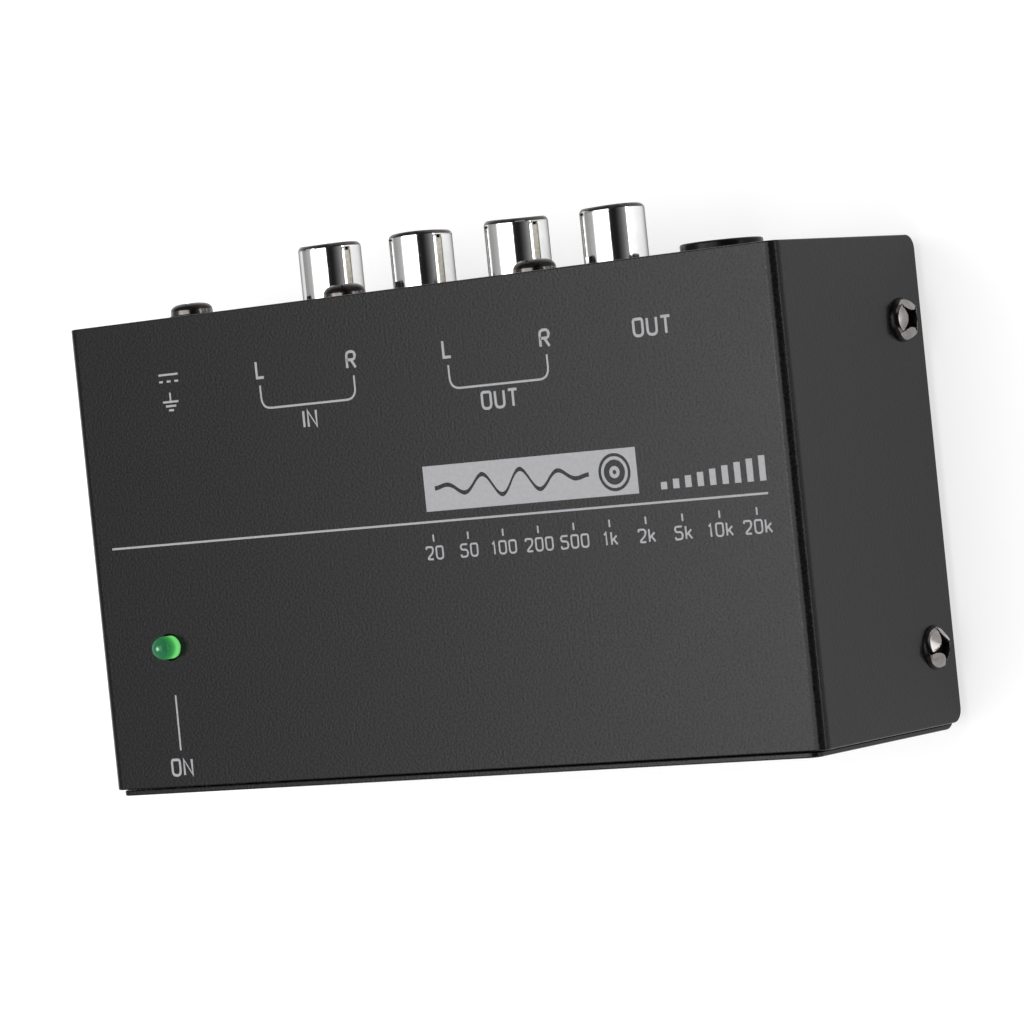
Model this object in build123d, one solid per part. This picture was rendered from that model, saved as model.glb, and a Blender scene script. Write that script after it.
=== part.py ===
"""Phono preamp: a small folded-steel box with its jacks on the rear wall.

Millimetres. +X runs along the width, +Y towards the rear wall with the jacks, +Z up.
The origin is on the floor under the middle of the whole object, jack barrels included.
"""
from build123d import *
import os

# ---- driving dimensions -------------------------------------------------------------
# folded steel case
CASE_WIDTH = 110.0
CASE_DEPTH = 62.2
CASE_HEIGHT = 34.0
SHEET = 0.7                 # steel thickness
COVER_BEND = 1.5            # outside radius of the cover's two top bends and of the walls' top corners
BASE_BEND = 2.0             # outside radius of the base's front and rear bends
COVER_GAP = 0.1             # air between the cover's front edge and the front wall
WALL_INSET = 1.1            # front and rear walls stop this far inside the cover's sides
SKIRT_CORNER = 1.8          # rounding of the cover's lower corners
EDGE_BREAK = 0.2            # rounding of cut edges that show

# screws that hold the cover, two on each side, in tabs folded up from the bottom plate
COVER_SCREW_SPACING = 41.0
COVER_SCREW_HEIGHT = 5.1    # above the case's bottom face
COVER_SCREW_TURNS = (15, 40)    # degrees that the recess of each stands turned
TAB_WIDTH = 12.0
TAB_HEIGHT = 10.0
TAB_CROWN = 3.0             # rounding of a tab's upper corners
TAB_SIDE_GAP = 0.1          # between a tab and the cover's inner face
COLLAR_WALL = 0.7           # drawn collar round a tab's thread
COLLAR_LENGTH = 1.2

# M3 screws
M3_RADIUS = 1.45
M3_HOLE = 1.55
M3_BORE = 1.5               # hole that a screw's shank fills closely
M3_HEAD_RADIUS = 2.8
M3_HEAD_HEIGHT = 1.9
M3_HEAD_ROUND = 0.7
M3_LENGTH = 6.0
RECESS_DEPTH = 1.3
RECESS_RADIUS = 1.9
RECESS_ARM = 1.0            # width of one arm of the cross
RECESS_TAPER = 0.6          # radius at the recess's bottom over the radius at its mouth

# rubber feet
FOOT_HEIGHT = 2.0
FOOT_RADIUS = 4.0
FOOT_ROUND = 0.5
FOOT_INSET_X = 10.0
FOOT_INSET_Y = 9.0

# phono jacks, in two pairs side by side
JACK_AXIS_HEIGHT = 16.4     # above the case's bottom face
RCA_PITCH = 14.8
RCA_INPUT_X = -16.15
RCA_OUTPUT_X = 13.8
RCA_REACH = 7.7             # sleeve outside the rear wall
RCA_RADIUS = 4.15
RCA_WALL = 0.35
RCA_MOUTH_ROUND = 0.28
RCA_SWAGE = 0.4             # outside the wall, length of the slope down to the sleeve's neck
RCA_SCREW_HEIGHT = 24.15    # above the case's bottom face
RCA_SCREW_TURN = 30
RCA_BLOCK_DEPTH = 10.5
RCA_BLOCK_MARGIN = 6.3      # block beyond the outer jack's axis
RCA_BLOCK_ROOF = 6.2        # block above the jacks' axis
RCA_BLOCK_ROUND = 1.0
RCA_EAR_WIDTH = 8.4
RCA_EAR_ROOF = 3.4          # ear above the panel screw's axis
RCA_EAR_ROUND = 2.4
RCA_EAR_BORE_DEPTH = 7.0
RCA_STEM = 3.0              # insulator's stem inside the block
RCA_STEM_LENGTH = 6.0
RCA_INSULATOR_RECESS = 0.6  # insulator's face behind the sleeve's mouth
RCA_COUNTERBORE = 0.8       # depth of the insulator's lip round the centre contact
RCA_PIN_HOLE = 1.65
RCA_CONTACT = 2.05
RCA_CONTACT_RECESS = 1.4    # contact's mouth behind the sleeve's mouth
RCA_CONTACT_CAP = 0.5       # contact behind the block
RCA_TAIL_WIDTH = 1.6
HOLE_CLEARANCE = 0.15       # round a jack in its hole in the rear wall

# quarter-inch output jack
TRS_X = 36.9
TRS_NOSE_RADIUS = 5.25
TRS_NOSE_REACH = 1.5        # nose outside the rear wall
TRS_NOSE_ROUND = 0.3
TRS_BORE = 3.25
TRS_LEAD_IN = 0.4           # chamfer at the mouth
TRS_BODY_WIDTH = 16.0
TRS_BODY_DEPTH = 27.0
TRS_BODY_TOP = 8.0          # body above the bore's axis
TRS_BODY_ROUND = 0.8
TRS_TIP_FROM_BACK = 4.0     # tip spring's middle in front of the body's back
TRS_RING_FROM_BACK = 10.0
TRS_WINDOW_WIDTH = 5.0
TRS_WINDOW_HEIGHT = 3.2
TRS_SPRING = 0.4            # thickness of the contact strips
TRS_SPRING_HEIGHT = 2.6
TRS_SPRING_CLEAR = 0.02     # between a spring's crest and the bore's wall line
TRS_BOW_LENGTH = 2.3        # from the crest to the arm's root
TRS_CREST_LENGTH = 1.4      # from the crest to the end of its slope
TRS_CREST_DEPTH = 1.2
TRS_SPRING_BEND = 0.5
TRS_ARM_LENGTH = 4.0
TRS_STRAP_WIDTH = 4.0
TRS_STRAP_MARGIN = (2.0, 4.0)   # strap's ends from the body's back and front
TRS_HOOK_LENGTH = 3.0

# supply jack
DC_X = -38.6
DC_AXIS_HEIGHT = 12.5       # above the case's bottom face
DC_BODY_WIDTH = 9.0
DC_BODY_DEPTH = 14.4
DC_FACE_DEPTH = 3.5         # square front part
DC_SLIMMING = 0.3           # the back part is this much slimmer on each side
DC_BORE = 2.9
DC_BORE_DEPTH = 9.5
DC_PIN_RADIUS = 1.05
DC_PIN_RIVET = 0.4          # rivet head behind the body
DC_PIN_RECESS = 0.6         # tip behind the panel's inner face
DC_PIN_TIP_ROUND = 0.63
DC_SPRING_WIDTH = 1.8
DC_SPRING_SHEET = 0.35
DC_SPRING_SEAT = 0.2        # spring above the lowest line of the bore
DC_SPRING_FRONT = 1.5       # spring's end behind the panel's inner face
DC_PANEL_HOLE = 3.3

# ground terminal
GROUND_X = -38.6
GROUND_HEIGHT = 27.8        # above the case's bottom face
GROUND_SCREW_LENGTH = 8.0
GROUND_SCREW_HEAD = 1.5     # its head is lower than the other screws' heads
GROUND_SCREW_TURN = 20
WASHER_RADIUS = 2.9
WASHER_THICKNESS = 0.3
WASHER_ROUND = 0.1
WASHER_GAP = 0.06           # between the washer and the shank
NUT_CORNER_RADIUS = 3.1
NUT_HEIGHT = 2.4

# power light
LED_X = -43.0
LED_FROM_FRONT = 19.25
LED_RADIUS = 1.5
LED_HOLE = 1.8
LED_LENGTH = 5.3
LED_FLANGE_RADIUS = 1.9
LED_FLANGE_HEIGHT = 1.0
LED_FLAT = 1.55             # flat on the flange's side, from the axis
LED_PROUD = 3.0             # top of the dome above the cover
LED_LEAD = 0.5
LED_LEAD_PITCH = 2.54
LED_LEAD_HOLE = 0.45
LED_LEAD_END = 1.2          # leads below the board
SPACER_RADIUS = 2.6
SPACER_BORE = 1.65

# circuit board
BOARD_WIDTH = 95.0
BOARD_THICKNESS = 1.6
BOARD_RAISE = 3.7           # board's underside above the steel it stands on
BOARD_FRONT_GAP = 2.5       # board's front edge behind the front wall's face
BOARD_REAR_GAP = 0.4        # board's rear edge in front of the rear wall
BOARD_CORNER = 1.5
STANDOFF_RADIUS = 3.0       # over the hexagon's corners
STANDOFF_FLOOR = 0.4        # closed end under a standoff's thread
STANDOFF_FIT = 0.05         # between a standoff's shoulder and its hole
BOARD_SCREW_REACH = 4.2     # shank below the head
BOARD_SCREW_BEVEL = 0.6

# ---- worked-out places --------------------------------------------------------------
FRONT = -(CASE_DEPTH + RCA_REACH) / 2
REAR = FRONT + CASE_DEPTH
CASE_MID = (FRONT + REAR) / 2
BOTTOM = FOOT_HEIGHT
TOP = BOTTOM + CASE_HEIGHT
SIDE = CASE_WIDTH / 2
WALL_HALF = SIDE - WALL_INSET
TAB_FACE = SIDE - SHEET - TAB_SIDE_GAP
FLOOR_IN = BOTTOM + SHEET
ROOF_IN = TOP - SHEET
REAR_IN = REAR - SHEET
FRONT_IN = FRONT + SHEET
COVER_FRONT = FRONT_IN + COVER_GAP
JACK_Z = BOTTOM + JACK_AXIS_HEIGHT
RCA_SCREW_Z = BOTTOM + RCA_SCREW_HEIGHT
DC_Z = BOTTOM + DC_AXIS_HEIGHT
GROUND_Z = BOTTOM + GROUND_HEIGHT
COVER_SCREW_Z = BOTTOM + COVER_SCREW_HEIGHT
LED_Y = FRONT + LED_FROM_FRONT
LED_TOP = TOP + LED_PROUD
LED_LOW = LED_TOP - LED_LENGTH
BOARD_LOW = FLOOR_IN + BOARD_RAISE
BOARD_TOP = BOARD_LOW + BOARD_THICKNESS
RCA_MOUTH = REAR + RCA_REACH
RCA_INSIDE = RCA_RADIUS - RCA_WALL
RCA_NECK = RCA_INSIDE               # in the wall's hole the sleeve is swaged down by its own wall
RCA_BLOCK_BACK = REAR_IN - RCA_BLOCK_DEPTH
TRS_BACK = REAR_IN - TRS_BODY_DEPTH
DC_BACK = REAR_IN - DC_BODY_DEPTH

RCA_PAIRS = {"input": RCA_INPUT_X, "output": RCA_OUTPUT_X}
RCA_SIDES = {"left": -RCA_PITCH / 2, "right": RCA_PITCH / 2}
SCREW_ROWS = (CASE_MID - COVER_SCREW_SPACING / 2, CASE_MID + COVER_SCREW_SPACING / 2)
LED_LEADS_X = (LED_X - LED_LEAD_PITCH / 2, LED_X + LED_LEAD_PITCH / 2)
STANDOFF_SPOTS = ((-36.0, FRONT + 8.0), (36.0, FRONT + 8.0), (-43.0, 4.0), (24.5, 8.0))

BASE_ALIGN = (Align.CENTER, Align.CENTER, Align.MIN)
THROUGH = 1.0               # how far a cutting tool runs past the faces that it cuts


# ---- shared makers ------------------------------------------------------------------
def rod_y(radius, start, end, x, z):
    """Round rod along +Y from start to end."""
    rod = Cylinder(radius, end - start, align=BASE_ALIGN)
    return Pos(x, start, z) * Rot(-90, 0, 0) * rod


def rod_z(radius, low, high, x, y):
    """Upright round rod from low to high."""
    return Pos(x, y, low) * Cylinder(radius, high - low, align=BASE_ALIGN)


def block(x_low, x_high, y_low, y_high, z_low, z_high):
    """Rectangular block between its two opposite corners."""
    size = Box(x_high - x_low, y_high - y_low, z_high - z_low, align=(Align.MIN,) * 3)
    return Pos(x_low, y_low, z_low) * size


def turned(profile_points, rounded=()):
    """Turned piece about +Y; points are (radius, y), rounded holds (corner index, radius)."""
    outline = Polyline(*profile_points, close=True)
    face = make_face(outline)
    for corner, radius in rounded:
        target = Vector(*profile_points[corner])
        picked = face.vertices().sort_by_distance(target)[0]
        face = fillet(picked, radius)
    return revolve(face, Axis.Y, 360)


def stood_up(shape, x, y, z):
    """Turned piece set upright, its own +Y pointing up."""
    return Pos(x, y, z) * Rot(90, 0, 0) * shape


def cross_recess():
    """Cross-shaped driver recess below y = 0, narrowing towards its bottom."""
    taper = Cone(RECESS_TAPER * RECESS_RADIUS, RECESS_RADIUS, RECESS_DEPTH, align=BASE_ALIGN)
    long_arm = Box(2 * RECESS_RADIUS, RECESS_ARM, RECESS_DEPTH, align=BASE_ALIGN)
    cross = long_arm + Rot(0, 0, 90) * long_arm
    return Pos(0, -RECESS_DEPTH, 0) * Rot(-90, 0, 0) * (taper & cross)


def pan_screw(length, head=M3_HEAD_HEIGHT):
    """M3 pan-head screw along +Y: the head's seat is at y = 0 and the shank goes to -length."""
    outline = (
        (0, -length),
        (M3_RADIUS, -length),
        (M3_RADIUS, 0),
        (M3_HEAD_RADIUS, 0),
        (M3_HEAD_RADIUS, head),
        (0, head),
    )
    return turned(outline, rounded=((4, M3_HEAD_ROUND),)) - Pos(0, head, 0) * cross_recess()


def write(name, shape):
    """Write one node of the assembly."""
    export_step(shape, f"parts/{name}.step")


# ---- folded base: bottom, front wall and rear wall in one strip ----------------------
def base_strip():
    """U-shaped strip seen from the side; the front wall is as tall as the finished case.

    The top corners of both walls are rounded like the cover that closes over them.
    """
    rear_top = ROOF_IN - COVER_GAP
    outline = (
        (FRONT, TOP),
        (FRONT, BOTTOM),
        (REAR, BOTTOM),
        (REAR, rear_top),
        (REAR_IN, rear_top),
        (REAR_IN, FLOOR_IN),
        (FRONT_IN, FLOOR_IN),
        (FRONT_IN, TOP),
    )
    face = make_face(Polyline(*outline, close=True))
    outer = face.vertices().filter_by(lambda v: abs(v.Y - BOTTOM) < SHEET / 2)
    face = fillet(outer, BASE_BEND)
    inner_spots = [Vector(REAR_IN, FLOOR_IN), Vector(FRONT_IN, FLOOR_IN)]
    inner = [face.vertices().sort_by_distance(spot)[0] for spot in inner_spots]
    face = fillet(inner, BASE_BEND - SHEET)
    strip = extrude(Plane.YZ * face, WALL_HALF, both=True)
    corners = strip.edges().filter_by(Axis.Y).filter_by(lambda e: e.center().Z > ROOF_IN - SHEET)
    strip = fillet(corners, COVER_BEND)
    return fillet(front_wall_rim(strip), EDGE_BREAK)


def front_wall_rim(strip):
    """Edges that the powder coat softens: the front wall's top rim, its corners and its face's ends."""
    def softened(edge):
        spot = edge.center()
        on_face = abs(spot.Y - FRONT) < SHEET / 4 and spot.Z > BOTTOM + BASE_BEND
        on_back = abs(spot.Y - FRONT_IN) < SHEET / 4 and spot.Z > TOP - COVER_BEND
        return on_face or on_back
    return strip.edges().filter_by(softened)


def screw_tab(y_mid):
    """Tab folded up from the bottom plate at +X, with a collar drawn inwards for the thread."""
    y_low = y_mid - TAB_WIDTH / 2
    y_high = y_mid + TAB_WIDTH / 2
    upright = block(TAB_FACE - SHEET, TAB_FACE, y_low, y_high, BOTTOM, BOTTOM + TAB_HEIGHT)
    crown = upright.edges().filter_by(Axis.X).group_by(Axis.Z)[-1]
    upright = fillet(crown, TAB_CROWN)
    shelf = block(WALL_HALF - BASE_BEND, TAB_FACE - SHEET / 2, y_low, y_high, BOTTOM, FLOOR_IN)
    tab = upright + shelf
    heel = tab.edges().filter_by(Axis.Y).sort_by_distance(Vector(TAB_FACE, y_mid, BOTTOM))[0]
    tab = fillet(heel, SHEET)
    inwards = Rot(0, -90, 0)
    collar = inwards * Cylinder(M3_HOLE + COLLAR_WALL, COLLAR_LENGTH, align=BASE_ALIGN)
    hole = inwards * Cylinder(M3_HOLE, SHEET + COLLAR_LENGTH + THROUGH, align=BASE_ALIGN)
    tab += Pos(TAB_FACE - SHEET, y_mid, COVER_SCREW_Z) * collar
    return tab - Pos(TAB_FACE, y_mid, COVER_SCREW_Z) * hole


def rear_wall_hole(radius, x, z):
    """Cutting tool for a round hole through the rear wall."""
    return rod_y(radius, REAR_IN - THROUGH, REAR + THROUGH, x, z)


def base_chassis():
    """Bottom, front and rear walls, four tapped tabs and the holes for the rear panel's parts."""
    body = base_strip()
    for y_mid in SCREW_ROWS:
        tab = screw_tab(y_mid)
        body = body + tab + mirror(tab, Plane.YZ)
    holes = [
        rear_wall_hole(TRS_NOSE_RADIUS + HOLE_CLEARANCE, TRS_X, JACK_Z),
        rear_wall_hole(DC_PANEL_HOLE, DC_X, DC_Z),
        rear_wall_hole(M3_HOLE, GROUND_X, GROUND_Z),
    ]
    for pair_x in RCA_PAIRS.values():
        holes.append(rear_wall_hole(M3_HOLE, pair_x, RCA_SCREW_Z))
        for side_x in RCA_SIDES.values():
            holes.append(rear_wall_hole(RCA_NECK + HOLE_CLEARANCE, pair_x + side_x, JACK_Z))
    for x, y in STANDOFF_SPOTS:
        holes.append(rod_z(M3_HOLE, BOTTOM - THROUGH, FLOOR_IN + THROUGH, x, y))
    return body - holes


# ---- folded cover: top and two sides in one strip ------------------------------------
def cover_strip():
    """Upside-down U seen from the front, rounded at its two bends."""
    outline = (
        (-SIDE, BOTTOM),
        (-SIDE, TOP),
        (SIDE, TOP),
        (SIDE, BOTTOM),
        (SIDE - SHEET, BOTTOM),
        (SIDE - SHEET, ROOF_IN),
        (-SIDE + SHEET, ROOF_IN),
        (-SIDE + SHEET, BOTTOM),
    )
    face = make_face(Polyline(*outline, close=True))
    outer = face.vertices().filter_by(lambda v: abs(v.Y - TOP) < SHEET / 2)
    face = fillet(outer, COVER_BEND)
    inner_spots = [Vector(SIDE - SHEET, ROOF_IN), Vector(-SIDE + SHEET, ROOF_IN)]
    inner = [face.vertices().sort_by_distance(spot)[0] for spot in inner_spots]
    face = fillet(inner, COVER_BEND - SHEET)
    section = Plane(origin=(0, REAR, 0), x_dir=(1, 0, 0), z_dir=(0, -1, 0))
    return extrude(section * face, REAR - COVER_FRONT)


def outer_rim(cover):
    """Edges of the cover's outside that run round its front and rear openings and along its skirts."""
    def outside(edge):
        spot = edge.center()
        on_rim = min(abs(spot.Y - COVER_FRONT), abs(spot.Y - REAR)) < SHEET / 2
        low_corner = spot.Z < BOTTOM + SKIRT_CORNER
        out_of_plate = abs(spot.X) > SIDE - SHEET / 2 or spot.Z > TOP - SHEET / 2
        return out_of_plate and (on_rim or low_corner)
    return cover.edges().filter_by(outside)


def top_cover():
    """Cover with rounded lower corners, softened edges, the light's hole and four clearance holes."""
    cover = cover_strip()
    corners = cover.edges().filter_by(Axis.X).filter_by(lambda e: e.center().Z < FLOOR_IN)
    cover = fillet(corners, SKIRT_CORNER)
    cover = fillet(outer_rim(cover), EDGE_BREAK)
    cover -= rod_z(LED_HOLE, ROOF_IN - THROUGH, TOP + THROUGH, LED_X, LED_Y)
    for y_mid in SCREW_ROWS:
        cover -= Pos(0, y_mid, COVER_SCREW_Z) * Rot(0, 90, 0) * Cylinder(M3_HOLE, 2 * CASE_WIDTH)
    return cover


def cover_screws():
    """Four screws, heads outside, two on each side of the cover."""
    right = [Pos(SIDE, y_mid, COVER_SCREW_Z) * Rot(0, 0, -90) * Rot(0, turn, 0) * pan_screw(M3_LENGTH)
             for y_mid, turn in zip(SCREW_ROWS, COVER_SCREW_TURNS)]
    left = [mirror(screw, Plane.YZ) for screw in right]
    return Compound(children=right + left)


# ---- feet, standoffs and board -------------------------------------------------------
def rubber_foot(x, y):
    """Low round foot with a softened lower edge."""
    foot = rod_z(FOOT_RADIUS, 0, FOOT_HEIGHT, x, y)
    rim = foot.edges().group_by(Axis.Z)[0]
    return fillet(rim, FOOT_ROUND)


def board_standoffs():
    """Four hexagonal posts pressed into the bottom plate."""
    posts = []
    for x, y in STANDOFF_SPOTS:
        hexagon = Pos(x, y, FLOOR_IN) * RegularPolygon(STANDOFF_RADIUS, 6)
        post = extrude(hexagon, BOARD_RAISE)
        shoulder = rod_z(M3_HOLE - STANDOFF_FIT, BOTTOM, FLOOR_IN, x, y)
        bore = rod_z(M3_BORE, FLOOR_IN + STANDOFF_FLOOR, BOARD_LOW + THROUGH, x, y)
        posts.append((post + shoulder - bore).solid())
    return Compound(children=posts)


def board_screws():
    """Four short screws with plain bevelled heads that hold the board to the posts."""
    outline = (
        (0, -BOARD_SCREW_REACH),
        (M3_RADIUS, -BOARD_SCREW_REACH),
        (M3_RADIUS, 0),
        (M3_HEAD_RADIUS, 0),
        (M3_HEAD_RADIUS, M3_HEAD_HEIGHT - BOARD_SCREW_BEVEL),
        (M3_HEAD_RADIUS - BOARD_SCREW_BEVEL, M3_HEAD_HEIGHT),
        (0, M3_HEAD_HEIGHT),
    )
    return Compound(children=[stood_up(turned(outline), x, y, BOARD_TOP) for x, y in STANDOFF_SPOTS])


def circuit_board():
    """Board with rounded corners, holes for its screws and for the light's two leads."""
    half = BOARD_WIDTH / 2
    board = block(-half, half, FRONT + BOARD_FRONT_GAP, REAR_IN - BOARD_REAR_GAP, BOARD_LOW, BOARD_TOP)
    board = fillet(board.edges().filter_by(Axis.Z), BOARD_CORNER)
    for x, y in STANDOFF_SPOTS:
        board -= rod_z(M3_HOLE, BOARD_LOW - THROUGH, BOARD_TOP + THROUGH, x, y)
    for lead_x in LED_LEADS_X:
        board -= rod_z(LED_LEAD_HOLE, BOARD_LOW - THROUGH, BOARD_TOP + THROUGH, lead_x, LED_Y)
    return board


# ---- phono jacks ---------------------------------------------------------------------
def rca_block(pair_x):
    """Moulded block behind a pair of jacks, with an ear between them for the panel screw."""
    block_top = JACK_Z + RCA_BLOCK_ROOF
    height = block_top - BOARD_TOP
    width = RCA_PITCH + 2 * RCA_BLOCK_MARGIN
    body = Pos(pair_x, BOARD_TOP + height / 2) * RectangleRounded(width, height, RCA_BLOCK_ROUND)
    ear_top = RCA_SCREW_Z + RCA_EAR_ROOF
    ear = Pos(pair_x, (JACK_Z + ear_top) / 2)
    ear = ear * RectangleRounded(RCA_EAR_WIDTH, ear_top - JACK_Z, RCA_EAR_ROUND)
    section = Plane(origin=(0, REAR_IN, 0), x_dir=(1, 0, 0), z_dir=(0, -1, 0))
    moulding = extrude(section * (body + ear), RCA_BLOCK_DEPTH)
    moulding -= rod_y(M3_BORE, REAR_IN - RCA_EAR_BORE_DEPTH, REAR_IN + THROUGH, pair_x, RCA_SCREW_Z)
    for side_x in RCA_SIDES.values():
        x = pair_x + side_x
        moulding -= rod_y(RCA_STEM, REAR_IN - RCA_STEM_LENGTH, REAR_IN + THROUGH, x, JACK_Z)
        moulding -= rod_y(RCA_CONTACT, RCA_BLOCK_BACK - THROUGH, REAR_IN, x, JACK_Z)
    return moulding


def rca_shell(x):
    """Metal sleeve that the plug's ring grips: swaged down to pass the wall, rounded at its mouth."""
    shoulder = REAR + RCA_SWAGE
    outline = (
        (RCA_NECK - RCA_WALL, REAR_IN),
        (RCA_NECK, REAR_IN),
        (RCA_NECK, REAR),
        (RCA_RADIUS, shoulder),
        (RCA_RADIUS, RCA_MOUTH),
        (RCA_INSIDE, RCA_MOUTH),
        (RCA_INSIDE, shoulder),
        (RCA_NECK - RCA_WALL, REAR),
    )
    return Pos(x, 0, JACK_Z) * turned(outline, rounded=((4, RCA_MOUTH_ROUND),))


def rca_insulator(x):
    """Coloured plastic core between sleeve and centre contact, recessed behind the mouth."""
    face = RCA_MOUTH - RCA_INSULATOR_RECESS
    lip = face - RCA_COUNTERBORE
    outline = (
        (RCA_CONTACT, REAR_IN - RCA_STEM_LENGTH),
        (RCA_STEM, REAR_IN - RCA_STEM_LENGTH),
        (RCA_STEM, REAR_IN),
        (RCA_NECK - RCA_WALL, REAR_IN),
        (RCA_NECK - RCA_WALL, REAR),
        (RCA_INSIDE, REAR + RCA_SWAGE),
        (RCA_INSIDE, face),
        (RCA_PIN_HOLE, face),
        (RCA_PIN_HOLE, lip),
        (RCA_CONTACT, lip),
    )
    return Pos(x, 0, JACK_Z) * turned(outline)


def rca_contact(x):
    """Centre contact: a tube for the plug's pin, and a tail behind the block down to the board."""
    back = RCA_BLOCK_BACK - RCA_CONTACT_CAP
    front = RCA_MOUTH - RCA_CONTACT_RECESS
    bottom = back + 2 * RCA_CONTACT_CAP
    outline = (
        (0, back),
        (RCA_CONTACT, back),
        (RCA_CONTACT, front),
        (RCA_PIN_HOLE, front),
        (RCA_PIN_HOLE, bottom),
        (0, bottom),
    )
    tube = Pos(x, 0, JACK_Z) * turned(outline)
    half = RCA_TAIL_WIDTH / 2
    tail = block(x - half, x + half, back, RCA_BLOCK_BACK, BOARD_TOP, JACK_Z)
    return tube + tail


def rca_block_screws():
    """Two panel screws, one between the jacks of each pair."""
    return Compound(children=[Pos(pair_x, REAR, RCA_SCREW_Z) * Rot(0, RCA_SCREW_TURN, 0)
                              * pan_screw(M3_LENGTH) for pair_x in RCA_PAIRS.values()])


# ---- quarter-inch output jack --------------------------------------------------------
def trs_window(spring_y, side):
    """Cutting tool for the window in the body's side where a contact spring reaches the bore."""
    outer = TRS_X + side * (TRS_BODY_WIDTH / 2 + THROUGH)
    return block(min(TRS_X, outer), max(TRS_X, outer),
                 spring_y - TRS_WINDOW_WIDTH / 2, spring_y + TRS_WINDOW_WIDTH / 2,
                 JACK_Z - TRS_WINDOW_HEIGHT / 2, JACK_Z + TRS_WINDOW_HEIGHT / 2)


def trs_body():
    """Moulded body with a round nose through the panel and side windows for the springs."""
    half = TRS_BODY_WIDTH / 2
    body = block(TRS_X - half, TRS_X + half, TRS_BACK, REAR_IN, BOARD_TOP, JACK_Z + TRS_BODY_TOP)
    body = fillet(body.edges().filter_by(Axis.Y), TRS_BODY_ROUND)
    mouth = REAR + TRS_NOSE_REACH
    nose = rod_y(TRS_NOSE_RADIUS, REAR_IN, mouth, TRS_X, JACK_Z)
    body += fillet(nose.edges().group_by(Axis.Y)[-1], TRS_NOSE_ROUND)
    body -= rod_y(TRS_BORE, TRS_BACK - THROUGH, mouth + THROUGH, TRS_X, JACK_Z)
    bore_rim = body.edges().filter_by(GeomType.CIRCLE).group_by(Axis.Y)[-1]
    body = chamfer(bore_rim.sort_by(SortBy.RADIUS)[0], TRS_LEAD_IN)
    for spring_y, side in trs_springs():
        body -= trs_window(spring_y, side)
    return body


def trs_springs():
    """Place along the bore and side of the tip spring, then of the ring spring."""
    return (TRS_BACK + TRS_TIP_FROM_BACK, 1), (TRS_BACK + TRS_RING_FROM_BACK, -1)


def trs_spring(spring_y, side):
    """Leaf spring beside the bore: a bowed contact in the window, a flat arm and a tail."""
    half = TRS_BODY_WIDTH / 2
    low = -TRS_SPRING_HEIGHT / 2
    touch = TRS_BORE + TRS_SPRING_CLEAR + TRS_SPRING / 2
    bow = [
        (half + TRS_SPRING / 2, TRS_BOW_LENGTH),
        (touch + TRS_CREST_DEPTH, TRS_CREST_LENGTH),
        (touch, 0),
        (touch + TRS_CREST_DEPTH, -TRS_CREST_LENGTH),
    ]
    line = FilletPolyline(*bow, radius=TRS_SPRING_BEND)
    leaf = Pos(0, 0, low) * extrude(trace(line, TRS_SPRING), TRS_SPRING_HEIGHT)
    arm_start = TRS_BOW_LENGTH - TRS_SPRING
    arm_end = arm_start + TRS_ARM_LENGTH
    arm = block(half, half + TRS_SPRING, arm_start, arm_end, low, -low)
    tail = block(half, half + TRS_SPRING, arm_end - TRS_ARM_LENGTH / 2, arm_end, BOARD_TOP - JACK_Z, low)
    spring = leaf + arm + tail
    if side < 0:
        spring = mirror(spring, Plane.YZ)
    return Pos(TRS_X, spring_y, JACK_Z) * spring


def trs_sleeve_contact():
    """Flat strip over the body with a foot to one side at the back, for the plug's sleeve."""
    roof = JACK_Z + TRS_BODY_TOP
    back = TRS_BACK + TRS_STRAP_MARGIN[0]
    front = REAR_IN - TRS_STRAP_MARGIN[1]
    half = TRS_STRAP_WIDTH / 2
    strap = block(TRS_X - half, TRS_X + half, back, front, roof, roof + TRS_SPRING)
    hook = block(TRS_X - half - TRS_STRAP_WIDTH, TRS_X - half, back, back + TRS_HOOK_LENGTH,
                 roof, roof + TRS_SPRING)
    return strap + hook


# ---- supply jack ---------------------------------------------------------------------
def dc_jack_body():
    """Moulded supply socket with an arched back half and a square face against the panel."""
    half = DC_BODY_WIDTH / 2
    slim = half - DC_SLIMMING
    face_back = REAR_IN - DC_FACE_DEPTH
    face = block(DC_X - half, DC_X + half, face_back, REAR_IN, BOARD_TOP, DC_Z + half)
    barrel = rod_y(slim, DC_BACK, face_back, DC_X, DC_Z)
    pedestal = block(DC_X - slim, DC_X + slim, DC_BACK, face_back, BOARD_TOP, DC_Z)
    body = face + barrel + pedestal
    body -= rod_y(DC_BORE, REAR_IN - DC_BORE_DEPTH, REAR_IN + THROUGH, DC_X, DC_Z)
    return body - rod_y(DC_PIN_RADIUS, DC_BACK - THROUGH, REAR_IN, DC_X, DC_Z)


def dc_jack_pin():
    """Centre pin, riveted at the back of the body and rounded at its tip."""
    tip = REAR_IN - DC_PIN_RECESS
    outline = (
        (0, DC_BACK - DC_PIN_RIVET),
        (2 * DC_PIN_RADIUS, DC_BACK - DC_PIN_RIVET),
        (2 * DC_PIN_RADIUS, DC_BACK),
        (DC_PIN_RADIUS, DC_BACK),
        (DC_PIN_RADIUS, tip),
        (0, tip),
    )
    return Pos(DC_X, 0, DC_Z) * turned(outline, rounded=((4, DC_PIN_TIP_ROUND),))


def dc_jack_spring():
    """Flat contact that lies in the floor of the socket's bore."""
    half = DC_SPRING_WIDTH / 2
    low = DC_Z - DC_BORE + DC_SPRING_SEAT
    return block(DC_X - half, DC_X + half, REAR_IN - DC_BORE_DEPTH, REAR_IN - DC_SPRING_FRONT,
                 low, low + DC_SPRING_SHEET)


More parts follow.
